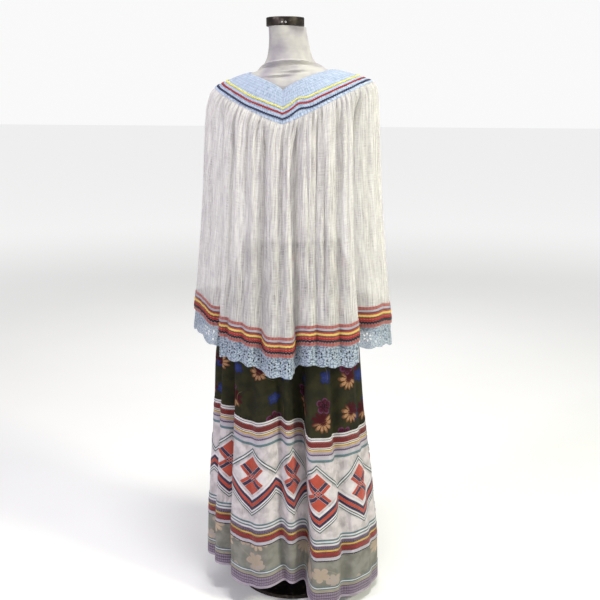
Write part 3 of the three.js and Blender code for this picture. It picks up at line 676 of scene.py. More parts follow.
def floral_cotton(name, ground, deep, faded):
    """Cotton printed with scattered flowers: peach sprays, maroon blooms, blue leaves and gold buds."""
    made = Finish(name, 0.95, 0.0)
    made.shader.inputs["Specular IOR Level"].default_value = 0.2
    flat = made.flat()

    def ink(code):
        colour = shade(code)
        pale = shade("cfc0ac")
        return tuple(mix(colour[k], pale[k], faded) for k in range(3)) + (1.0,)

    uneven = made.noise(flat, 30, 4)
    tone = made.blend(made.step(uneven, 0.35, 0.65), shade(deep), shade(ground))
    # Size, petals, seed, reach, chance, share of the bloom that is in full colour, and rim, petal and heart.
    layers = (
        (0.095, 5, 1, 0.27, 0.44, 1.0, ("1a2248", "262f60", "2f3b76")),
        (0.100, 11, 2, 0.38, 0.50, 0.5, ("6e4630", "a67f5e", "3c0c15")),
        (0.095, 5, 3, 0.30, 0.34, 1.0, ("5a3350", "3b0c1a", "22060c")),
        (0.085, 4, 4, 0.20, 0.20, 1.0, ("421322", "5a1a2a", "240810")),
    )
    for size, petals, seed, reach, chance, full, (rim, body, heart) in layers:
        out, number, wave, side = flower_layer(made, flat, size, seed, petals, reach)
        there = made.math("MULTIPLY", made.step(out, 1.0, 0.93), made.math("LESS_THAN", number, chance))
        petal = made.blend(made.step(out, 0.88, 0.72), ink(rim), ink(body))
        veins = made.math("MULTIPLY", made.step(wave, 0.5, 0.15), made.step(out, 0.3, 0.6))
        petal = made.blend(veins, petal, ink(heart))
        petal = made.blend(made.step(out, 0.42, 0.3), petal, ink(heart))
        mottle = made.math("MULTIPLY", made.step(made.noise(flat, 240, 2), 0.45, 0.65), 0.4)
        petal = made.blend(mottle, petal, ink(rim))
        if full < 1:
            petal = made.blend(made.step(side, 0.1, -0.5), petal, ink(heart))
        tone = made.blend(there, tone, petal)
    stems = made.math("ABSOLUTE", made.math("SUBTRACT", made.noise(flat, 9, 0), 0.5))
    few = made.step(made.noise(flat, 13, 1), 0.52, 0.6)
    line = made.math("MULTIPLY", made.step(stems, 0.005, 0.001), few)
    tone = made.blend(made.math("MULTIPLY", line, 0.5), tone, ink("8a7a4c"))
    made.colour(tone)
    made.bump(made.noise(made.scaled(flat, (50, 18, 1)), 1, 3), 0.0016)
    made.bump(made.weave(flat, 0.0011), 0.00012)
    return made.material


def knit_jersey():
    """Smooth white jersey stretched over the form."""
    made = Finish("form_jersey", 0.8, 0.3)
    place = made.place()
    broad = made.noise(place, 14, 3)
    made.colour(made.blend(made.step(broad, 0.35, 0.65), shade("9a949c"), shade("b9b7b0")))
    ribs = made.node("TexWave", {"Vector": place, "Scale": 260.0, "Distortion": 1.5, "Detail": 1.0},
                     output="Fac", bands_direction="X")
    made.bump(made.noise(made.scaled(place, (12, 12, 46)), 1, 3), 0.006, 0.5)
    made.bump(ribs, 0.00015)
    return made.material


def dark_metal():
    made = Finish("dark_satin_metal", 0.42, metallic=0.7)
    place = made.place()
    worn = made.noise(place, 70, 5)
    made.colour(made.blend(made.step(worn, 0.5, 0.75), shade("2a2420"), shade("5e554c")))
    made.feed(made.shader.inputs["Roughness"], made.between(worn, 0.3, 0.6))
    made.bump(worn, 0.0005)
    return made.material


def brushed_steel(name):
    made = Finish(name, 0.3, metallic=1.0)
    place = made.place()
    lines = made.noise(made.scaled(place, (500, 500, 14)), 1, 2)
    made.colour(made.blend(lines, shade("9c9da0"), shade("dcdde0")))
    made.feed(made.shader.inputs["Roughness"], made.between(lines, 0.2, 0.42))
    made.bump(lines, 0.0001)
    return made.material


# ---- camera, light and floor ----
CAMERA_AZIMUTH = 13.0
CAMERA_DISTANCE = 2.5
CAMERA_HEIGHT = 1.4
CAMERA_PITCH = 12.62
CAMERA_YAW = 0.5
LENS = 54.7
SENSOR_WIDTH = 36
FLOOR_REACH = 40


def aim(thing, target):
    """Turns a lamp towards a point."""
    direction = [t - c for t, c in zip(target, thing.location)]
    flat = math.hypot(direction[0], direction[1])
    thing.rotation_euler = (math.atan2(flat, -direction[2]), 0, math.atan2(-direction[0], direction[1]))


def studio():
    """Camera, four soft lamps, a pale room and a plain floor that glows with painted light, more strongly far
    from the middle.
    """
    scene = bpy.context.scene
    camera = bpy.data.objects.new("camera", bpy.data.cameras.new("camera"))
    turned = math.radians(CAMERA_AZIMUTH)
    camera.location = (CAMERA_DISTANCE * math.sin(turned), -CAMERA_DISTANCE * math.cos(turned), CAMERA_HEIGHT)
    camera.rotation_euler = (math.radians(90 - CAMERA_PITCH), 0, math.radians(CAMERA_AZIMUTH - CAMERA_YAW))
    camera.data.lens = LENS
    camera.data.sensor_width = SENSOR_WIDTH
    scene.collection.objects.link(camera)
    scene.camera = camera

    lamps = (
        ("window_left", (-2.4, -2.7, 2.5), 0.7, 58, (0.92, 0.86, 1.0)),
        ("window_right", (3.0, -1.1, 2.5), 0.7, 78, (1.0, 1.0, 0.78)),
        ("overhead", (0.4, -0.7, 3.7), 0.7, 60, (1.0, 0.99, 0.97)),
        ("behind", (-0.6, 3.0, 2.6), 1.4, 36, (1.0, 1.0, 1.0)),
    )
    for name, place, size, power, tint in lamps:
        lamp = bpy.data.objects.new(name, bpy.data.lights.new(name, "AREA"))
        lamp.data.size = size
        lamp.data.energy = power
        lamp.data.color = tint
        lamp.location = place
        aim(lamp, (0, 0, 0.8))
        scene.collection.objects.link(lamp)

    world = bpy.data.worlds.new("pale_room")
    world.use_nodes = True
    room = world.node_tree
    soft = room.nodes["Background"]
    soft.inputs["Color"].default_value = (1, 1, 1, 1)
    soft.inputs["Strength"].default_value = 0.30
    backdrop = room.nodes.new("ShaderNodeBackground")
    backdrop.inputs["Color"].default_value = (1, 1, 1, 1)
    backdrop.inputs["Strength"].default_value = 0.95
    seen = room.nodes.new("ShaderNodeLightPath")
    choice = room.nodes.new("ShaderNodeMixShader")
    room.links.new(seen.outputs["Is Camera Ray"], choice.inputs[0])
    room.links.new(soft.outputs[0], choice.inputs[1])
    room.links.new(backdrop.outputs[0], choice.inputs[2])
    room.links.new(choice.outputs[0], room.nodes["World Output"].inputs["Surface"])
    scene.world = world
    scene.view_settings.view_transform = "Standard"

    mesh = bpy.data.meshes.new("floor")
    far = FLOOR_REACH
    mesh.from_pydata([(-far, -far, 0), (far, -far, 0), (far, far, 0), (-far, far, 0)], [], [(0, 1, 2, 3)])
    made = Finish("pale_floor", 0.9)
    grain = made.noise(made.place(), 3, 4)
    made.colour(made.blend(grain, (0.84, 0.84, 0.84, 1), (0.88, 0.88, 0.88, 1)))
    # Painted light: the floor glows white, faintly near the form and more strongly farther out, which lifts
    # its shade.
    made.shader.inputs["Emission Color"].default_value = (1, 1, 1, 1)
    away = made.node("VectorMath", {0: made.place()}, output="Value", operation="LENGTH")
    made.feed(made.shader.inputs["Emission Strength"], made.between(made.step(away, 1.0, 8.0), 0.1, 0.6))
    mesh.materials.append(made.material)
    floor = bpy.data.objects.new("floor", mesh)
    scene.collection.objects.link(floor)


# ---- the dress form ----
# Height, half the width, depth, angle of the middle, and how far round, of each soft crease.
NECK_CREASES = ((1464, 3.0, 2.6, 16, 20), (1454, 2.8, 3.0, -5, 13), (1440, 2.2, 2.2, 4, 7))


def form_piece():
    """The knit cover: smooth and whole, with a folded edge and soft creases at the base of its neck."""
    def creases(angle, z):
        low = z + 15 * (1 - np.cos(np.radians(turn(angle - 10))))
        lip = 5.4 * np.exp(-(((low - 1489) / 2.6) ** 2)) - 4.2 * np.exp(-(((low - 1482) / 3.6) ** 2))
        soft = np.zeros_like(angle)
        for centre, wide, deep, middle, span in NECK_CREASES:
            near = np.exp(-((turn(angle - middle) / span) ** 2))
            slant = 0.12 * turn(angle - middle)
            soft = soft + deep * near * np.exp(-(((z - centre - slant) / wide) ** 2))
            soft = soft - 0.9 * deep * near * np.exp(-(((z - centre - slant + 5.5) / wide) ** 2))
        return lip * (0.25 + 0.75 * np.exp(-((turn(angle - 10) / 80) ** 2))) + soft

    body = Cloth(form_surface, 1200, creases)
    levels = np.concatenate([np.linspace(NECK_TOP, 1445, 66), np.linspace(1440, 780, 34)])
    angles = np.linspace(-180, 180, 160, endpoint=False)
    angle, level = grid(angles, levels)
    here, _ = body.lay(angle, level)
    piece = Piece()
    rows, columns = angle.shape
    points = here.reshape(-1, 3) * MM
    j, i = (x.ravel() for x in np.meshgrid(np.arange(rows - 1), np.arange(columns), indexing="ij"))
    right = (i + 1) % columns
    upper, lower = j * columns, (j + 1) * columns
    faces = np.stack([upper + i, lower + i, lower + right, upper + right], axis=1)
    u, v = body.length_at(angle), level + 0 * angle
    flat = np.stack([np.hstack([u, u[:, :1] + body.total]), np.hstack([v, v[:, :1]])], axis=-1) * MM
    maps = np.stack([flat[j, i], flat[j + 1, i], flat[j + 1, i + 1], flat[j, i + 1]], axis=1)
    piece.add(points, faces, maps)
    made = piece.build("form_cover", knit_jersey())
    for edge in (range(columns), range((rows - 1) * columns, rows * columns)):
        close_ring(made.data, list(edge))
    return own(made, "form_jersey", "form_body")


def close_ring(mesh, ring):
    """Closes an open ring of vertices with a fan round its middle."""
    work = bmesh.new()
    work.from_mesh(mesh)
    work.verts.ensure_lookup_table()
    verts = [work.verts[k] for k in ring]
    middle = work.verts.new(sum((v.co for v in verts), verts[0].co * 0) / len(verts))
    for a, b in zip(verts, verts[1:] + verts[:1]):
        work.faces.new((a, b, middle))
    bmesh.ops.recalc_face_normals(work, faces=work.faces)
    work.to_mesh(mesh)
    work.free()


def lathe(name, profile, centre, material, sides=96):
    """A solid of revolution about an upright axis, from (radius, height) pairs that start and end on it."""
    points = [(0.0, profile[0][1])] + list(profile) + [(0.0, profile[-1][1])]
    turned = np.linspace(0, 2 * math.pi, sides, endpoint=False)
    x, y = centre
    verts = [(x, y, points[0][1])]
    for radius, height in points[1:-1]:
        verts += [(x + radius * math.cos(a), y + radius * math.sin(a), height) for a in turned]
    verts.append((x, y, points[-1][1]))
    rings = len(points) - 2
    faces = []
    for k in range(sides):
        n = (k + 1) % sides
        faces.append((0, 1 + n, 1 + k))
        faces.append((len(verts) - 1, 1 + (rings - 1) * sides + k, 1 + (rings - 1) * sides + n))
        for r in range(rings - 1):
            a, b = 1 + r * sides, 1 + (r + 1) * sides
            faces.append((a + k, a + n, b + n, b + k))
    mesh = bpy.data.meshes.new(name)
    mesh.from_pydata((np.array(verts) * MM).tolist(), [], faces)
    return placed(name, mesh, material, METAL_SHARP)


def rounded_disc(radius, low, high, bevel):
    """The profile of a disc with rounded edges."""
    turns = np.radians(np.linspace(0, 90, 5))
    under = [(radius - bevel + bevel * math.sin(a), low + bevel - bevel * math.cos(a)) for a in turns]
    over = [(radius - bevel + bevel * math.cos(a), high - bevel + bevel * math.sin(a)) for a in turns]
    return under + over


def pin_head(number, steel):
    """The domed head of a pin in the neck cap, facing the front."""
    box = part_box(f"form_pin_{number}")
    centre = (box[0] + box[1]) / 2
    sides = 20
    verts = []
    for size, out in PIN_PROFILE:
        for a in np.linspace(0, 2 * math.pi, sides, endpoint=False):
            x = centre.x + PIN_RADIUS * MM * size * math.cos(a)
            verts.append((x, centre.y + MM * out, centre.z + PIN_RADIUS * MM * size * math.sin(a)))
    last = (len(PIN_PROFILE) - 1) * sides
    faces = [tuple(range(sides))[::-1], tuple(range(last, last + sides))]
    for r in range(0, last, sides):
        for i in range(sides):
            n = (i + 1) % sides
            faces.append((r + i, r + n, r + sides + n, r + sides + i))
    mesh = bpy.data.meshes.new(f"neck_pin_{number}")
    mesh.from_pydata(verts, [], faces)
    return placed(mesh.name, mesh, steel)


def stand_and_cap():
    """The neck cap and its pins, the pole and the round base."""
    metal = dark_metal()
    steel = brushed_steel("bright_steel")
    top = FORM_LEVELS[-1]
    middle = (top[4], (top[3] - top[2]) / 2)
    low = NECK_TOP + SEAM_GAP
    cap = rounded_disc(CAP_RADIUS, low, low + CAP_HEIGHT, CAP_BEVEL)
    own(lathe("neck_cap", cap, middle, metal), "dark_metal", "form_neck_cap")
    for k in range(PIN_COUNT):
        own(pin_head(k + 1, steel), "steel", f"form_pin_{k + 1}")
    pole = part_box("stand_pole")
    tube = rounded_disc(POLE_RADIUS, pole[0].z / MM, pole[1].z / MM, POLE_BEVEL)
    own(lathe("pole", tube, (0, 0), brushed_steel("pole_steel"), 48), "steel", "stand_pole")
    rim = [(144 + 5 * math.cos(a), 7 + 5 * math.sin(a)) for a in np.radians(np.linspace(10, 90, 6))]
    own(lathe("round_base", BASE_EDGE + rim, (0, 0), metal), "dark_metal", "stand_base")


# ---- relief on the cape ----
GATHER_PITCH = 13.5
SHIRRING_PITCH = 4.3
FRILL_PITCH = 7.6
plain_yoke = Cloth(cape_surface, 50)
plain_seam = Cloth(cape_surface, YOKE_WIDTH + 1)
plain_lace = Cloth(cape_surface, LACE_TOP + 30)


def troughs(phase, seed, width, depth, fade):
    """Troughs near whole phases. Depth and fade take each trough's own random number."""
    own_number = np.random.default_rng(seed).random(512)
    nearest = np.round(phase)
    chance = own_number[nearest.astype(int) % 512]
    other = own_number[(nearest.astype(int) * 7 + 3) % 512]
    x = (phase - nearest) / (width * (0.7 + 0.6 * other))
    return depth * (0.3 + 1.1 * chance) * np.exp(-(x**2)) * fade(other)


def cape_relief(angle, down):
    """Pinched gathers below the yoke that fade or join, and slow folds that carry on to the hem."""
    drop = down - YOKE_WIDTH
    length = plain_seam.length_at(angle)
    even = length / GATHER_PITCH
    joining = 0.8 * wander(even * 0.23 + drop / 300, 4) * ease(drop, 20, 420)
    phase = even + 0.32 * wander(even * 0.9, 3) + joining
    fine = troughs(phase, 11, 0.18, 9.5, lambda r: 1 - 0.96 * ease(drop, 15 + 60 * r, 110 + 460 * r))
    slow = length / 41 + 0.35 * wander(length / 60, 5)
    slow = slow + 0.5 * wander(length / 140 + drop / 420, 6) * ease(drop, 60, 500)
    broad = troughs(slow, 12, 0.16, 13.5, lambda r: ease(drop, 20, 200) * (1 - 0.9 * ease(drop, 380, 600)))
    small = 0.45 * wander(length / 2.1 + 2 * wander(drop / 90, 8), 7) * ease(drop, 5, 60)
    return (3.2 - fine - broad + small) * ease(drop, -1, 14)


def yoke_relief(angle, down):
    """Fine upright gathers, drawn in at each row of shirring, and a looser frill below the last braid."""
    length = plain_yoke.length_at(angle)
    phase = length / SHIRRING_PITCH + 0.5 * wander(length / 11, 21) + 0.3 * wander(length / 23 + down / 9, 22)
    rows = 0.45 + 0.55 * np.abs(np.sin(np.pi * down / 7.8))
    ribs = 0.42 * np.sin(2 * np.pi * phase) * rows + 0.25 * wander(length / 5 + down / 6, 23)
    loose = length / FRILL_PITCH + 0.3 * wander(length / 15, 24)
    frill = 0.95 * np.sin(2 * np.pi * loose) - 0.2
    return mix(ribs, frill, ease(down, 83, 88)) * (1 - 0.6 * ease(down, 90, 91.6))


def lace_relief(angle, down):
    """The lace is gathered where it is sewn on, and flares to its edge."""
    deep = down - LACE_TOP
    length = plain_lace.length_at(angle)
    phase = length / 34 + 0.3 * wander(length / 50, 31)
    flare = 1.1 * np.sin(2 * np.pi * phase) * ease(deep, 0, 40)
    return flare + 0.5 * np.sin(2 * np.pi * length / 11) * (1 - ease(deep, 0, 30))


def mitre_angles(cloth, start, end, count):
    """Columns from one half turn to the other, a little short of both."""
    short = 0.06
    return cloth.evenly(start + short, end - short, count)


# Corners of the braid's section, from one edge round to it again: share of its width, and 1 on the face.
BRAID_SECTION = ((-0.5, 1), (0, 1), (0.5, 1), (0.5, 0), (0, 0), (-0.5, 0), (-0.5, 1))
BRAID_SAMPLES = 4
BRAID_EDGE_DROP = 0.7
# Name, how far below the neckline, and the colours of its crowns and of the painted shade in its troughs.
YOKE_BRAIDS = (
    ("yellow", 59.0, "f6f083", "dcd060"),
    ("red", 70.9, "b3231a", "78130e"),
    ("navy", 82.8, "1b2552", "101634"),
)
# Sizes of each braid: its wave, its width, and where it starts and ends above the cloth.
YOKE_BRAID = {"Pitch": 5.6, "Swing": 1.1, "Width": 3.7, "Low": 1.0, "High": 2.7}
HEM_BRAID = {"Pitch": 6.6, "Low": 0.9, "High": 3.0}
SKIRT_BRAID = {"Pitch": 7.5, "Swing": 0.8, "Width": 1.7, "Low": 1.9, "High": 2.6}


def braid_tree():
    """Geometry Nodes that sweep a flat zigzag braid round a ring of points on the cloth, in millimetres.

    Each point of the ring carries the way out of the cloth, the way along it, its level and its run."""
    tree = bpy.data.node_groups.new("rickrack_braid", "GeometryNodeTree")
    tree.interface.new_socket("Ring", in_out="INPUT", socket_type="NodeSocketGeometry")
    tree.interface.new_socket("Points", in_out="INPUT", socket_type="NodeSocketInt")
    for name in ("Round", "Pitch", "Swing", "Width", "Low", "High", "Rising"):
        tree.interface.new_socket(name, in_out="INPUT", socket_type="NodeSocketFloat")
    tree.interface.new_socket("Finish", in_out="INPUT", socket_type="NodeSocketMaterial")
    tree.interface.new_socket("Braid", in_out="OUTPUT", socket_type="NodeSocketGeometry")
    given = tree.nodes.new("NodeGroupInput").outputs
    corners = len(BRAID_SECTION)

    def node(kind, inputs, output=0, **settings):
        return add_node(tree, "GeometryNode" + kind, inputs, output, **settings)

    def math_of(operation, a, b=0.0):
        return add_node(tree, "ShaderNodeMath", {0: a, 1: b}, operation=operation)

    def stretched(vector, size):
        return add_node(tree, "ShaderNodeVectorMath", {0: vector, "Scale": size}, operation="SCALE")

    def together(a, b):
        return add_node(tree, "ShaderNodeVectorMath", {0: a, 1: b}, operation="ADD")

    def named(name, kind):
        return node("InputNamedAttribute", {"Name": name}, "Attribute", data_type=kind)

    index = node("InputIndex", {})
    column = math_of("FLOOR", math_of("DIVIDE", math_of("ADD", index, 0.5), corners))
    row = math_of("SUBTRACT", index, math_of("MULTIPLY", column, corners))
    turns = math_of("FLOOR", math_of("DIVIDE", math_of("ADD", column, 0.5), given["Points"]))
    point = math_of("SUBTRACT", column, math_of("MULTIPLY", turns, given["Points"]))

    def on_ring(value, kind):
        inputs = {"Geometry": given["Ring"], "Value": value, "Index": point}
        return node("SampleIndex", inputs, data_type=kind)

    def carried(name, kind):
        return on_ring(named(name, kind), kind)

    def by_corner(k):
        switch = tree.nodes.new("GeometryNodeIndexSwitch")
        switch.data_type = "FLOAT"
        while len(switch.index_switch_items) < corners:
            switch.index_switch_items.new()
        tree.links.new(row, switch.inputs["Index"])
        for n, corner in enumerate(BRAID_SECTION):
            switch.inputs[n + 1].default_value = corner[k]
        return switch.outputs[0]

    run = math_of("ADD", carried("run", "FLOAT"), math_of("MULTIPLY", turns, given["Round"]))
    wave = math_of("SINE", math_of("DIVIDE", math_of("MULTIPLY", run, 2 * math.pi), given["Pitch"]))
    triangle = math_of("DIVIDE", math_of("ARCSINE", math_of("MULTIPLY", wave, 0.93)), 1.2)
    share, face = by_corner(0), by_corner(1)
    across = math_of("MULTIPLY", share, given["Width"])
    strayed = math_of("ADD", across, math_of("MULTIPLY", triangle, given["Swing"]))
    drop = math_of("MULTIPLY", math_of("ABSOLUTE", share), BRAID_EDGE_DROP)
    crown = math_of("SUBTRACT", given["High"], drop)
    proud = math_of("MULTIPLY", face, math_of("SUBTRACT", crown, given["Low"]))
    proud = math_of("ADD", given["Low"], proud)
    moved = together(stretched(carried("along", "FLOAT_VECTOR"), strayed),
                     stretched(carried("out", "FLOAT_VECTOR"), proud))
    place = together(on_ring(node("InputPosition", {}), "FLOAT_VECTOR"), moved)
    level = math_of("ADD", carried("level", "FLOAT"), strayed)
    level = math_of("MULTIPLY", level, given["Rising"])
    flat = stretched(add_node(tree, "ShaderNodeCombineXYZ", {"X": run, "Y": level}), MM)

    around_it = math_of("ADD", given["Points"], 1)
    sheet = node("MeshGrid", {"Vertices X": around_it, "Vertices Y": corners}, "Mesh")
    sheet = node("StoreNamedAttribute", {"Geometry": sheet, "Name": "spot", "Value": flat},
                 data_type="FLOAT_VECTOR", domain="POINT")
    sheet = node("SetPosition", {"Geometry": sheet, "Position": stretched(place, MM)})
    spot = named("spot", "FLOAT_VECTOR")
    sheet = node("StoreNamedAttribute", {"Geometry": sheet, "Name": "cloth", "Value": spot},
                 data_type="FLOAT2", domain="CORNER")
    sheet = node("MergeByDistance", {"Geometry": sheet, "Distance": 0.01 * MM})
    sheet = node("RemoveAttribute", {"Geometry": sheet, "Name": "spot"})
    sheet = node("RealizeInstances", {"Geometry": sheet})
    sheet = node("SetMaterial", {"Geometry": sheet, "Material": given["Finish"]})
    tree.links.new(sheet, tree.nodes.new("NodeGroupOutput").inputs["Braid"])
    return tree


def yoke_stray(angle):
    """How the yoke's rows stray from level: up beside the point of the V, and a little down to its left."""
    beside = -6.5 * np.exp(-(((turn(angle) - 13) / 5.5) ** 2))
    return beside + 2.5 * np.exp(-(((turn(angle) + 32) / 14) ** 2)) + 1.2 * wander(angle / 9, 61)


def rickrack(name, cloth, centre, sizes, material, stray=None):
    """A closed ring of rickrack braid along a level of the cloth. Stray moves it off the level."""
    waves = round(cloth.total / sizes["Pitch"])
    angles = cloth.evenly(-180, 180, waves * BRAID_SAMPLES, closed=True)
    level = centre + (stray(angles) if stray else 0 * angles)
    here, out = cloth.lay(angles, level)
    below, _ = cloth.lay(angles, level + 1)
    ring = bpy.data.meshes.new(f"{name}_ring")
    ring.from_pydata(here.tolist(), [], [])
    for kind, field, values in (("FLOAT_VECTOR", "vector", {"out": out, "along": below - here}),
                                ("FLOAT", "value", {"level": level, "run": cloth.length_at(angles)})):
        for key, value in values.items():
            ring.attributes.new(key, kind, "POINT").data.foreach_set(field, value.astype(np.float32).ravel())
    carrier = bpy.data.objects.new(f"{name}_ring", ring)
    bpy.context.scene.collection.objects.link(carrier)
    sweep = carrier.modifiers.new("braid", "NODES")
    sweep.node_group = bpy.data.node_groups.get("rickrack_braid") or braid_tree()
    inputs = dict(sizes, Points=len(angles), Round=cloth.total, Pitch=cloth.total / waves,
                  Rising=float(cloth.rising), Finish=material)
    for item in sweep.node_group.interface.items_tree:
        if item.in_out == "INPUT" and item.name in inputs:
            sweep[item.identifier] = inputs[item.name]
    swept = carrier.evaluated_get(bpy.context.evaluated_depsgraph_get())
    mesh = bpy.data.meshes.new_from_object(swept)
    bpy.data.objects.remove(carrier)
    mesh.name = name
    work = bmesh.new()
    work.from_mesh(mesh)
    bmesh.ops.recalc_face_normals(work, faces=work.faces)
    work.to_mesh(mesh)
    work.free()
    return placed(name, mesh, sharp=CLOTH_SHARP)


def cape_pieces():
    """The yoke and its braids, the gauze, the bands at its hem and the lace."""
    yoke_cloth = Cloth(cape_surface, 50, yoke_relief, -1)
    blue = shirred_cotton()
    for name, start in (("left", 0), ("right", -180)):
        piece = Piece()
        levels = np.concatenate([np.linspace(0, 80, 18), np.linspace(83, YOKE_WIDTH - 0.36, 5)])
        angle, level = grid(mitre_angles(yoke_cloth, start, start + 180, 450), levels)
        piece.wall(yoke_cloth, angle, level, -YOKE_HALF_WALL, YOKE_HALF_WALL)
        own(piece.build(f"yoke_shirred_{name}", blue), "yoke_cotton", f"yoke_{name}")
    smooth_yoke = Cloth(cape_surface, 60, lambda angle, level: 0 * angle, -1)
    for name, centre, code, trough_shade in YOKE_BRAIDS:
        finish = braid(f"{name}_rickrack", code, trough_shade)
        made = rickrack(f"braid_{name}", smooth_yoke, centre, YOKE_BRAID, finish, yoke_stray)
        own(made, f"{name}_rickrack", f"yoke_rickrack_{name}")

    cloth = Cloth(cape_surface, YOKE_WIDTH + 300, cape_relief, -1)
    white = gauze()
    parts = (np.linspace(SEAM_GAP / 2, 60, 15), np.linspace(67, 560, 40), np.linspace(568, 639.75, 8))
    drops = np.concatenate(parts)
    columns = []
    for name, start, count in (("front", -90, 440), ("back", 90, 380)):
        piece = Piece()
        columns.append(mitre_angles(cloth, start, start + 180, count))
        angle, level = grid(columns[-1], YOKE_WIDTH + drops)
        piece.wall(cloth, angle, level, -GAUZE_HALF_WALL, GAUZE_HALF_WALL)
        own(piece.build(f"gauze_{name}", white), "gauze", f"cape_{name}")
    bands = hem_bands(cloth, np.concatenate(columns))
    lace_pieces()


# Rows along the cape's hem: name, from, to, kind; as shares of the band's depth.
HEM_ROWS = (
    ("rose_dots_top", 0.00, 0.135, "rose_dots"),
    ("grey_braid", 0.170, 0.245, "grey_braid"),
    ("dark_line_one", 0.262, 0.295, "dark"),
    ("rose_tape_one", 0.30, 0.385, "rose"),
    ("yellow_braid", 0.392, 0.490, "yellow_braid"),
    ("dark_line_two", 0.498, 0.530, "dark"),
    ("rose_tape_two", 0.535, 0.595, "rose"),
    ("red_braid", 0.60, 0.695, "red_braid"),
    ("navy_braid", 0.70, 0.825, "navy_braid"),
    ("rose_dots_low", 0.845, 0.99, "rose_dots"),
)


def hem_bands(cloth, angles):
    """Rows of ribbon and rickrack along the cape's hem, over one backing tape, in the gauze's own columns."""
    finishes = {
        "rose_dots": dotted_tape("rose_dotted_tape", "a9655f", "7d2a25"),
        "grey_braid": braid("grey_rickrack", "c9cbd8", "9294a6"),
        "dark": cotton("dark_thread_line", "33202c"),
        "rose": cotton("rose_tape", "a8453c", 0.7),
        "yellow_braid": braid("gold_rickrack", "fbe27c", "cfa544"),
        "red_braid": braid("bright_red_rickrack", "c0281a", "8e170f"),
        "navy_braid": braid("navy_hem_rickrack", "15122a", "0a0814"),
    }
    depth = LACE_TOP - TAPE_TOP - 0.5
    levels = np.linspace(TAPE_TOP, LACE_TOP - SEAM_GAP, 6)
    backing = ring_piece("hem_tape", cloth, angles, levels, *HEM_TAPE_WALL,
                         cotton("pale_rose_backing", "c9a5a3", 0.8))
    made = [own(backing, "woven_ribbon", "cape_ribbons")]
    for name, start, end, kind in HEM_ROWS:
        low, high = TAPE_TOP + start * depth, TAPE_TOP + end * depth
        if kind.endswith("braid"):
            sizes = dict(HEM_BRAID, Swing=0.26 * (high - low), Width=0.85 * (high - low))
            row = rickrack(name, cloth, (low + high) / 2, sizes, finishes[kind])
        else:
            row = ring_piece(name, cloth, angles, [low, high], *HEM_ROW_WALL, finishes[kind])
        made.append(own(row, "woven_ribbon"))
    return made


def lace_pieces():
    """Gathered lace with a scalloped edge. Each repeat has a flower of six holes and two leaves between."""
    cloth = Cloth(cape_surface, LACE_TOP + 30, lace_relief, -1)
    material = lace_net()
    repeat = cloth.total / LACE_REPEATS
    for name, start, columns in (("front", -90, 430), ("back", 90, 390)):
        first = cloth.length_at(np.array(start + 0.04))
        last = cloth.length_at(np.array(start + 179.96))
        x, share = np.meshgrid(np.linspace(first, last, columns), np.linspace(0, 1, 27))
        phase = x / repeat - np.round(x / repeat)
        deep = LACE_DEPTH - SCALLOP * (2 * phase) ** 2
        y = 0.25 + share * (deep - 0.25)
        keep = np.ones((x.shape[0] - 1, x.shape[1] - 1), bool)
        for centre_x, centre_y, long_way, wide, slant in lace_holes(first, last, repeat):
            x, y, keep = open_hole(x, y, keep, centre_x, centre_y, long_way, wide, slant)
        piece = Piece()
        piece.wall(cloth, cloth.angle_at(x), LACE_TOP + y, -LACE_HALF_WALL, LACE_HALF_WALL, keep=keep)
        made = own(piece.build(f"lace_edging_{name}", material), "lace", f"lace_{name}")


# In each repeat of the lace, a flower of round holes and a line of long ones beside it.
FLOWER_DOWN = 27
FLOWER_RADIUS = 9.5
FLOWER_HOLE = (3.5, 2.1)
LEAF_PLACES = (17, 40)
LEAF_HOLE = (3.8, 2.1)
LACE_END = 7


def lace_holes(first, last, repeat):
    """Centre, two half sizes and slant of each hole, for the repeats that lie whole between two lengths."""
    holes = []
    for k in range(math.ceil(first / repeat), math.floor(last / repeat) + 1):
        middle = k * repeat
        for turned in np.radians(np.arange(0, 360, 60) + 30):
            x = middle + FLOWER_RADIUS * math.cos(turned)
            holes.append((x, FLOWER_DOWN + FLOWER_RADIUS * math.sin(turned), *FLOWER_HOLE, turned))
        for down in LEAF_PLACES:
            holes.append((middle + repeat / 2, down, *LEAF_HOLE, math.pi / 2))
    return [hole for hole in holes if first + LACE_END < hole[0] < last - LACE_END]


def open_hole(x, y, keep, centre_x, centre_y, long_way, wide, slant):
    """Leaves out the cells inside a hole, and moves the vertices round it on to its outline."""
    c, s = math.cos(slant), math.sin(slant)
    a = ((x - centre_x) * c + (y - centre_y) * s) / long_way
    b = (-(x - centre_x) * s + (y - centre_y) * c) / wide
    middle_a = (a[:-1, :-1] + a[1:, 1:]) / 2
    middle_b = (b[:-1, :-1] + b[1:, 1:]) / 2
    cut = np.hypot(middle_a, middle_b) < 1
    touched = np.zeros_like(x, int)
    whole = np.zeros_like(x, int)
    for j in (0, 1):
        for i in (0, 1):
            part = (slice(j, x.shape[0] - 1 + j), slice(i, x.shape[1] - 1 + i))
            touched[part] += cut
            whole[part] += 1
    rim = (touched > 0) & (touched < whole)
    size = np.maximum(np.hypot(a, b), 1e-6)
    x = np.where(rim, centre_x + (a * long_way * c - b * wide * s) / size, x)
    y = np.where(rim, centre_y + (a * long_way * s + b * wide * c) / size, y)
    return x, y, keep & ~cut


# ---- the skirt ----
plain_skirt = Cloth(skirt_surface, 370)
SKIRT_COLUMNS = 400


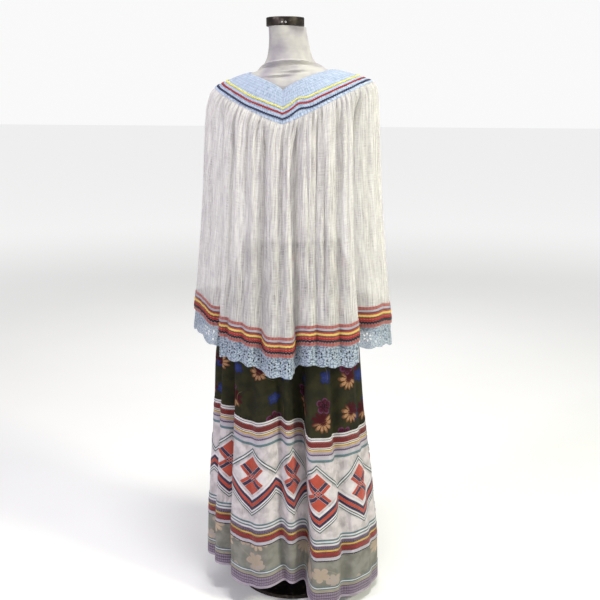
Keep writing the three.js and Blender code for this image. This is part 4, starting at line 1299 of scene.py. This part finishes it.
def skirt_relief(angle, z):
    """Small gathers below the waist, and soft rumples lower down."""
    length = plain_skirt.length_at(angle)
    gathers = 1.6 * np.sin(2 * np.pi * (length / 15 + 0.4 * wander(length / 40, 41))) * ease(z, 760, 950)
    rumple = 1.1 * wander(length / 17 + 0.8 * wander(z / 40, 43), 42) * wander(z / 55 + length / 90, 44)
    near_seam = np.exp(-(((z - UPPER_SEAM - 4) / 16) ** 2)) + np.exp(-(((z - LOWER_SEAM - 4) / 14) ** 2))
    pucker = 0.8 * np.sin(2 * np.pi * (length / 9 + 0.5 * wander(length / 21, 45))) * near_seam
    return gathers * (1 - ease(z, 965, 975)) + rumple * ease(-z, -940, -880) + pucker


# Rows of the bands: from, to, kind; as shares of the band's depth, from its top.
UPPER_ROWS = (
    (0.000, 0.055, "white"), (0.060, 0.080, "black"), (0.085, 0.145, "white"), (0.155, 0.172, "black"),
    (0.180, 0.385, "red"), (0.395, 0.418, "white"), (0.425, 0.445, "black"), (0.450, 0.490, "cream"),
    (0.495, 0.510, "black"), (0.515, 0.565, "gold"), (0.575, 0.645, "pale_mauve"), (0.650, 0.725, "mauve"),
    (0.735, 0.880, "lavender"), (0.890, 0.990, "teal"),
)
UPPER_BRAIDS = ((0.262, "dark_red"), (0.325, "dark_red"), (0.688, "dark_mauve"))
LOWER_ROWS = (
    (0.005, 0.075, "teal"), (0.085, 0.140, "white"), (0.150, 0.205, "teal"), (0.215, 0.275, "white"),
    (0.285, 0.440, "mauve"), (0.445, 0.465, "black"), (0.475, 0.545, "gold"), (0.550, 0.570, "black"),
    (0.580, 0.785, "red"), (0.790, 0.805, "black"), (0.815, 0.940, "lavender"), (0.950, 0.985, "black"),
)
LOWER_BRAIDS = ((0.335, "dark_mauve"), (0.395, "dark_mauve"))
HEM_BAND_ROWS = (
    (0.000, 0.055, "teal"), (0.060, 0.110, "white"), (0.120, 0.170, "teal"), (0.180, 0.330, "tan"),
    (0.340, 0.365, "dark_mauve"), (0.370, 0.500, "mauve"), (0.505, 0.530, "dark_mauve"),
    (0.535, 0.660, "mauve"), (0.665, 0.690, "dark_mauve"), (0.695, 0.810, "mauve"),
    (0.815, 0.840, "dark_mauve"), (0.845, 0.985, "pale_mauve"),
)


def band_finishes():
    """The cottons, tapes and braids of the skirt's bands."""
    return {
        "white": cotton("white_bias_tape", "d8d3d6", 0.85),
        "black": cotton("black_bias_tape", "1d1a1d", 0.7),
        "red": cotton("red_band", "86231f", 0.7),
        "cream": cotton("cream_tape", "dcd3bd", 0.85),
        "gold": cotton("gold_tape", "cfa650", 0.75),
        "pale_mauve": cotton("pale_mauve_tape", "a79aab", 0.8),
        "mauve": dotted_tape("mauve_woven_tape", "8a7a8e", "5b4a63", 0.006, 0.005),
        "lavender": cotton("lavender_white_tape", "b9b3be", 0.8),
        "teal": cotton("teal_bias_tape", "5d7880", 0.7),
        "tan": cotton("tan_tape", "9a9284", 0.8),
        "dark_red": braid("dark_red_rickrack", "4a1215", "1e0708"),
        "dark_mauve": braid("dark_mauve_rickrack", "4c3c55", "241b2a"),
    }


def skirt_band(name, cloth, top, low, rows, braids, finishes, ground, node, slot):
    """One band: a backing strip, raised tapes of each colour, and narrow rickrack on them."""
    angles = cloth.evenly(-180, 180, SKIRT_COLUMNS, closed=True)
    deep = top - low
    levels = np.linspace(top - 0.1, low + 0.02 * deep, 8)
    made = [own(ring_piece(name, cloth, angles, levels, *BAND_WALL, ground), slot, node)]
    by_kind = {}
    for start, end, kind in rows:
        by_kind.setdefault(kind, []).append((top - start * deep, top - end * deep))
    for kind, strips in by_kind.items():
        piece = Piece()
        for high, bottom in strips:
            angle, level = grid(angles, [high, bottom])
            piece.wall(cloth, angle, level, *BAND_ROW_WALL, ring=True)
        made.append(own(piece.build(f"{name}_{kind}", finishes[kind]), slot))
    for k, (place, kind) in enumerate(braids):
        row = rickrack(f"{name}_braid_{k + 1}", cloth, top - place * deep, SKIRT_BRAID, finishes[kind])
        made.append(own(row, slot))
    return made


# The diamond block's cut pieces, in shares of the diamond's two sides: from, to along each, and colour.
BLOCK = (
    (0.07, 0.40, 0.07, 0.40, "orange"), (0.60, 0.93, 0.60, 0.93, "orange"),
    (0.41, 0.50, 0.07, 0.40, "navy"), (0.51, 0.60, 0.07, 0.40, "orange"),
    (0.07, 0.40, 0.41, 0.50, "navy"), (0.07, 0.40, 0.51, 0.60, "orange"),
    (0.50, 0.59, 0.60, 0.93, "navy"), (0.40, 0.49, 0.60, 0.93, "orange"),
    (0.60, 0.93, 0.50, 0.59, "navy"), (0.60, 0.93, 0.40, 0.49, "orange"),
    (0.41, 0.46, 0.41, 0.46, "navy"), (0.54, 0.59, 0.54, 0.59, "navy"), (0.47, 0.53, 0.47, 0.53, "orange"),
    (0.54, 0.59, 0.41, 0.46, "navy"), (0.41, 0.46, 0.54, 0.59, "navy"),
    (0.47, 0.53, 0.41, 0.46, "orange"), (0.47, 0.53, 0.54, 0.59, "orange"),
    (0.41, 0.46, 0.47, 0.53, "orange"), (0.54, 0.59, 0.47, 0.53, "orange"),
)
ROOF_APEX = 431
ROOF_CORNER = 362
ROOF_LINES = ((0, 3.6, "teal"), (3.9, 8.1, "white"), (8.4, 12.0, "teal"))
DIAMOND_TOP = 416
DIAMOND_CORNER = 349
DIAMOND_BOTTOM = 290
CHEVRONS = (
    (0, 7, "white"), (7.5, 16.5, "navy"), (17, 27.5, "orange"), (28, 36.5, "navy"), (37, 41.5, "white"),
    (42, 45, "teal"), (45.5, 49, "white"), (49.5, 52.5, "teal"),
)
PATCH_LOW = 1.3
PATCH_HIGH = 2.0


def patches(cloth):
    """Twelve pieced diamonds in a row, each under a roof of bias tape and over a nest of V strips."""
    finishes = {
        "orange": cotton("orange_red_cotton", "b04330", 0.8, wrinkle=0.0016),
        "navy": cotton("navy_cotton", "2c2444", 0.75, wrinkle=0.0012),
        "white": cotton("white_strip_cotton", "ddd7dc", 0.88, wrinkle=0.0016),
        "teal": cotton("teal_strip_cotton", "4a6461", 0.7),
        "ground": cotton("pale_diamond_cotton", "dad3d6", 0.78, wrinkle=0.007),
    }
    lengths = [cloth.length_at(np.array(float(a))) for a in PATCH_CORNERS[:-1]] + [cloth.total]
    made = []
    for k in range(len(lengths) - 1):
        start, end = lengths[k], lengths[k + 1]
        middle, half = (start + end) / 2, (end - start) / 2
        pieces = {kind: Piece() for kind in finishes}

        def lay(kind, x, z, low=PATCH_LOW, high=PATCH_HIGH):
            """Lays cloth on the skirt. X runs from -1 to 1 between the diamond's side corners."""
            from_edge = [np.minimum(np.arange(n), np.arange(n)[::-1]) for n in x.shape[::-1]]
            puff = 0.25 * ease(np.minimum(*np.meshgrid(*from_edge)), 0, 2)
            pieces[kind].wall(cloth, cloth.angle_at(middle + x * half), z, low, high + puff)

        across = np.linspace(-1, 1, 41)
        for above, below, kind in ROOF_LINES:
            x, part = np.meshgrid(across, [0, 1])
            roof = ROOF_APEX - (ROOF_APEX - ROOF_CORNER) * np.abs(x)
            lay(kind, x, roof - mix(above, below, part), PATCH_LOW + 0.2, PATCH_HIGH + 0.3)
        for above, below, kind in CHEVRONS:
            x, part = np.meshgrid(across, [0, 0.5, 1])
            foot = DIAMOND_BOTTOM + (DIAMOND_CORNER - DIAMOND_BOTTOM) * np.abs(x)
            lay(kind, x, foot - mix(above, below, part))
        steps = np.linspace(0.03, 0.97, 17)
        p, q = np.meshgrid(steps, steps)
        lay("ground", *diamond(p, q), 0.9, 1.2)
        for left, right, top, low, kind in BLOCK:
            count = 8 if right - left > 0.2 else 3
            rows = 8 if low - top > 0.2 else 3
            p, q = np.meshgrid(np.linspace(left, right, count), np.linspace(top, low, rows))
            lay(kind, *diamond(p, q))
        number = f"{k + 1:02d}"
        for kind, piece in pieces.items():
            nodes = (f"skirt_patch_{number}",) if kind == "ground" else ()
            made.append(own(piece.build(f"patch_{number}_{kind}", finishes[kind]), "patch_cotton", *nodes))
    return made


def diamond(p, q):
    """A place in the diamond, from shares along its upper right and upper left sides."""
    x = 0.93 * (p - q)
    down = (p + q) / 2
    top_half = DIAMOND_TOP - (DIAMOND_TOP - DIAMOND_CORNER) * 2 * np.minimum(down, 0.5)
    z = top_half - (DIAMOND_CORNER - DIAMOND_BOTTOM) * 2 * np.maximum(down - 0.5, 0)
    return x, z


def skirt_pieces():
    """The waistband, two floral tiers, the patchwork tier between them, and their bands."""
    cloth = Cloth(skirt_surface, 370, skirt_relief)
    angles = cloth.evenly(-180, 180, SKIRT_COLUMNS, closed=True)
    upper_print = floral_cotton("olive_floral_cotton", "302f1c", "25241a", 0.0)
    lower_print = floral_cotton("faded_floral_cotton", "8b8a84", "77766f", 0.6)
    ground = cotton("patchwork_ground_cotton", "d2cacd", 0.66, wrinkle=0.013)
    finishes = band_finishes()

    def tier(name, top, low, rows, finish, slot, node, columns=angles):
        levels = np.linspace(top, low, rows)
        piece = ring_piece(name, cloth, columns, levels, -SKIRT_HALF_WALL, SKIRT_HALF_WALL, finish)
        return own(piece, slot, node)

    lap = SEAM_GAP / 2
    plain_round = np.linspace(-180, 180, 240, endpoint=False)
    waist = tier("waistband", WAIST_TOP, WAIST_SEAM + lap, 8, upper_print, "floral_cotton", "skirt_waistband",
                 plain_round)
    upper = tier("floral_tier_upper", WAIST_SEAM - lap, UPPER_SEAM + lap, 35, upper_print, "floral_cotton",
                 "skirt_floral_upper")
    middle = tier("patchwork_tier", UPPER_SEAM - lap, LOWER_SEAM + lap, 34, ground, "plain_cotton",
                  "skirt_patchwork")
    lower = tier("floral_tier_lower", LOWER_SEAM - lap, SKIRT_HEM, 13, lower_print, "floral_cotton",
                 "skirt_floral_lower")

    backing = cotton("band_backing", "cfc8cb", 0.85)
    upper_band = skirt_band("band_upper", cloth, UPPER_SEAM, UPPER_BAND_END, UPPER_ROWS, UPPER_BRAIDS,
                            finishes, backing, "skirt_ribbon_upper", "woven_ribbon")
    lower_band = skirt_band("band_lower", cloth, LOWER_BAND_START, LOWER_SEAM, LOWER_ROWS, LOWER_BRAIDS,
                            finishes, backing, "skirt_ribbon_lower", "woven_ribbon")
    hem_band = skirt_band("band_hem", cloth, HEM_BAND_START, SKIRT_HEM, HEM_BAND_ROWS, (), finishes,
                          cotton("hem_backing", "8f7f90", 0.8), "skirt_ribbon_hem", "mauve_ribbon")
    diamonds = patches(cloth)


studio()
form_piece()
stand_and_cap()
cape_pieces()
skirt_pieces()
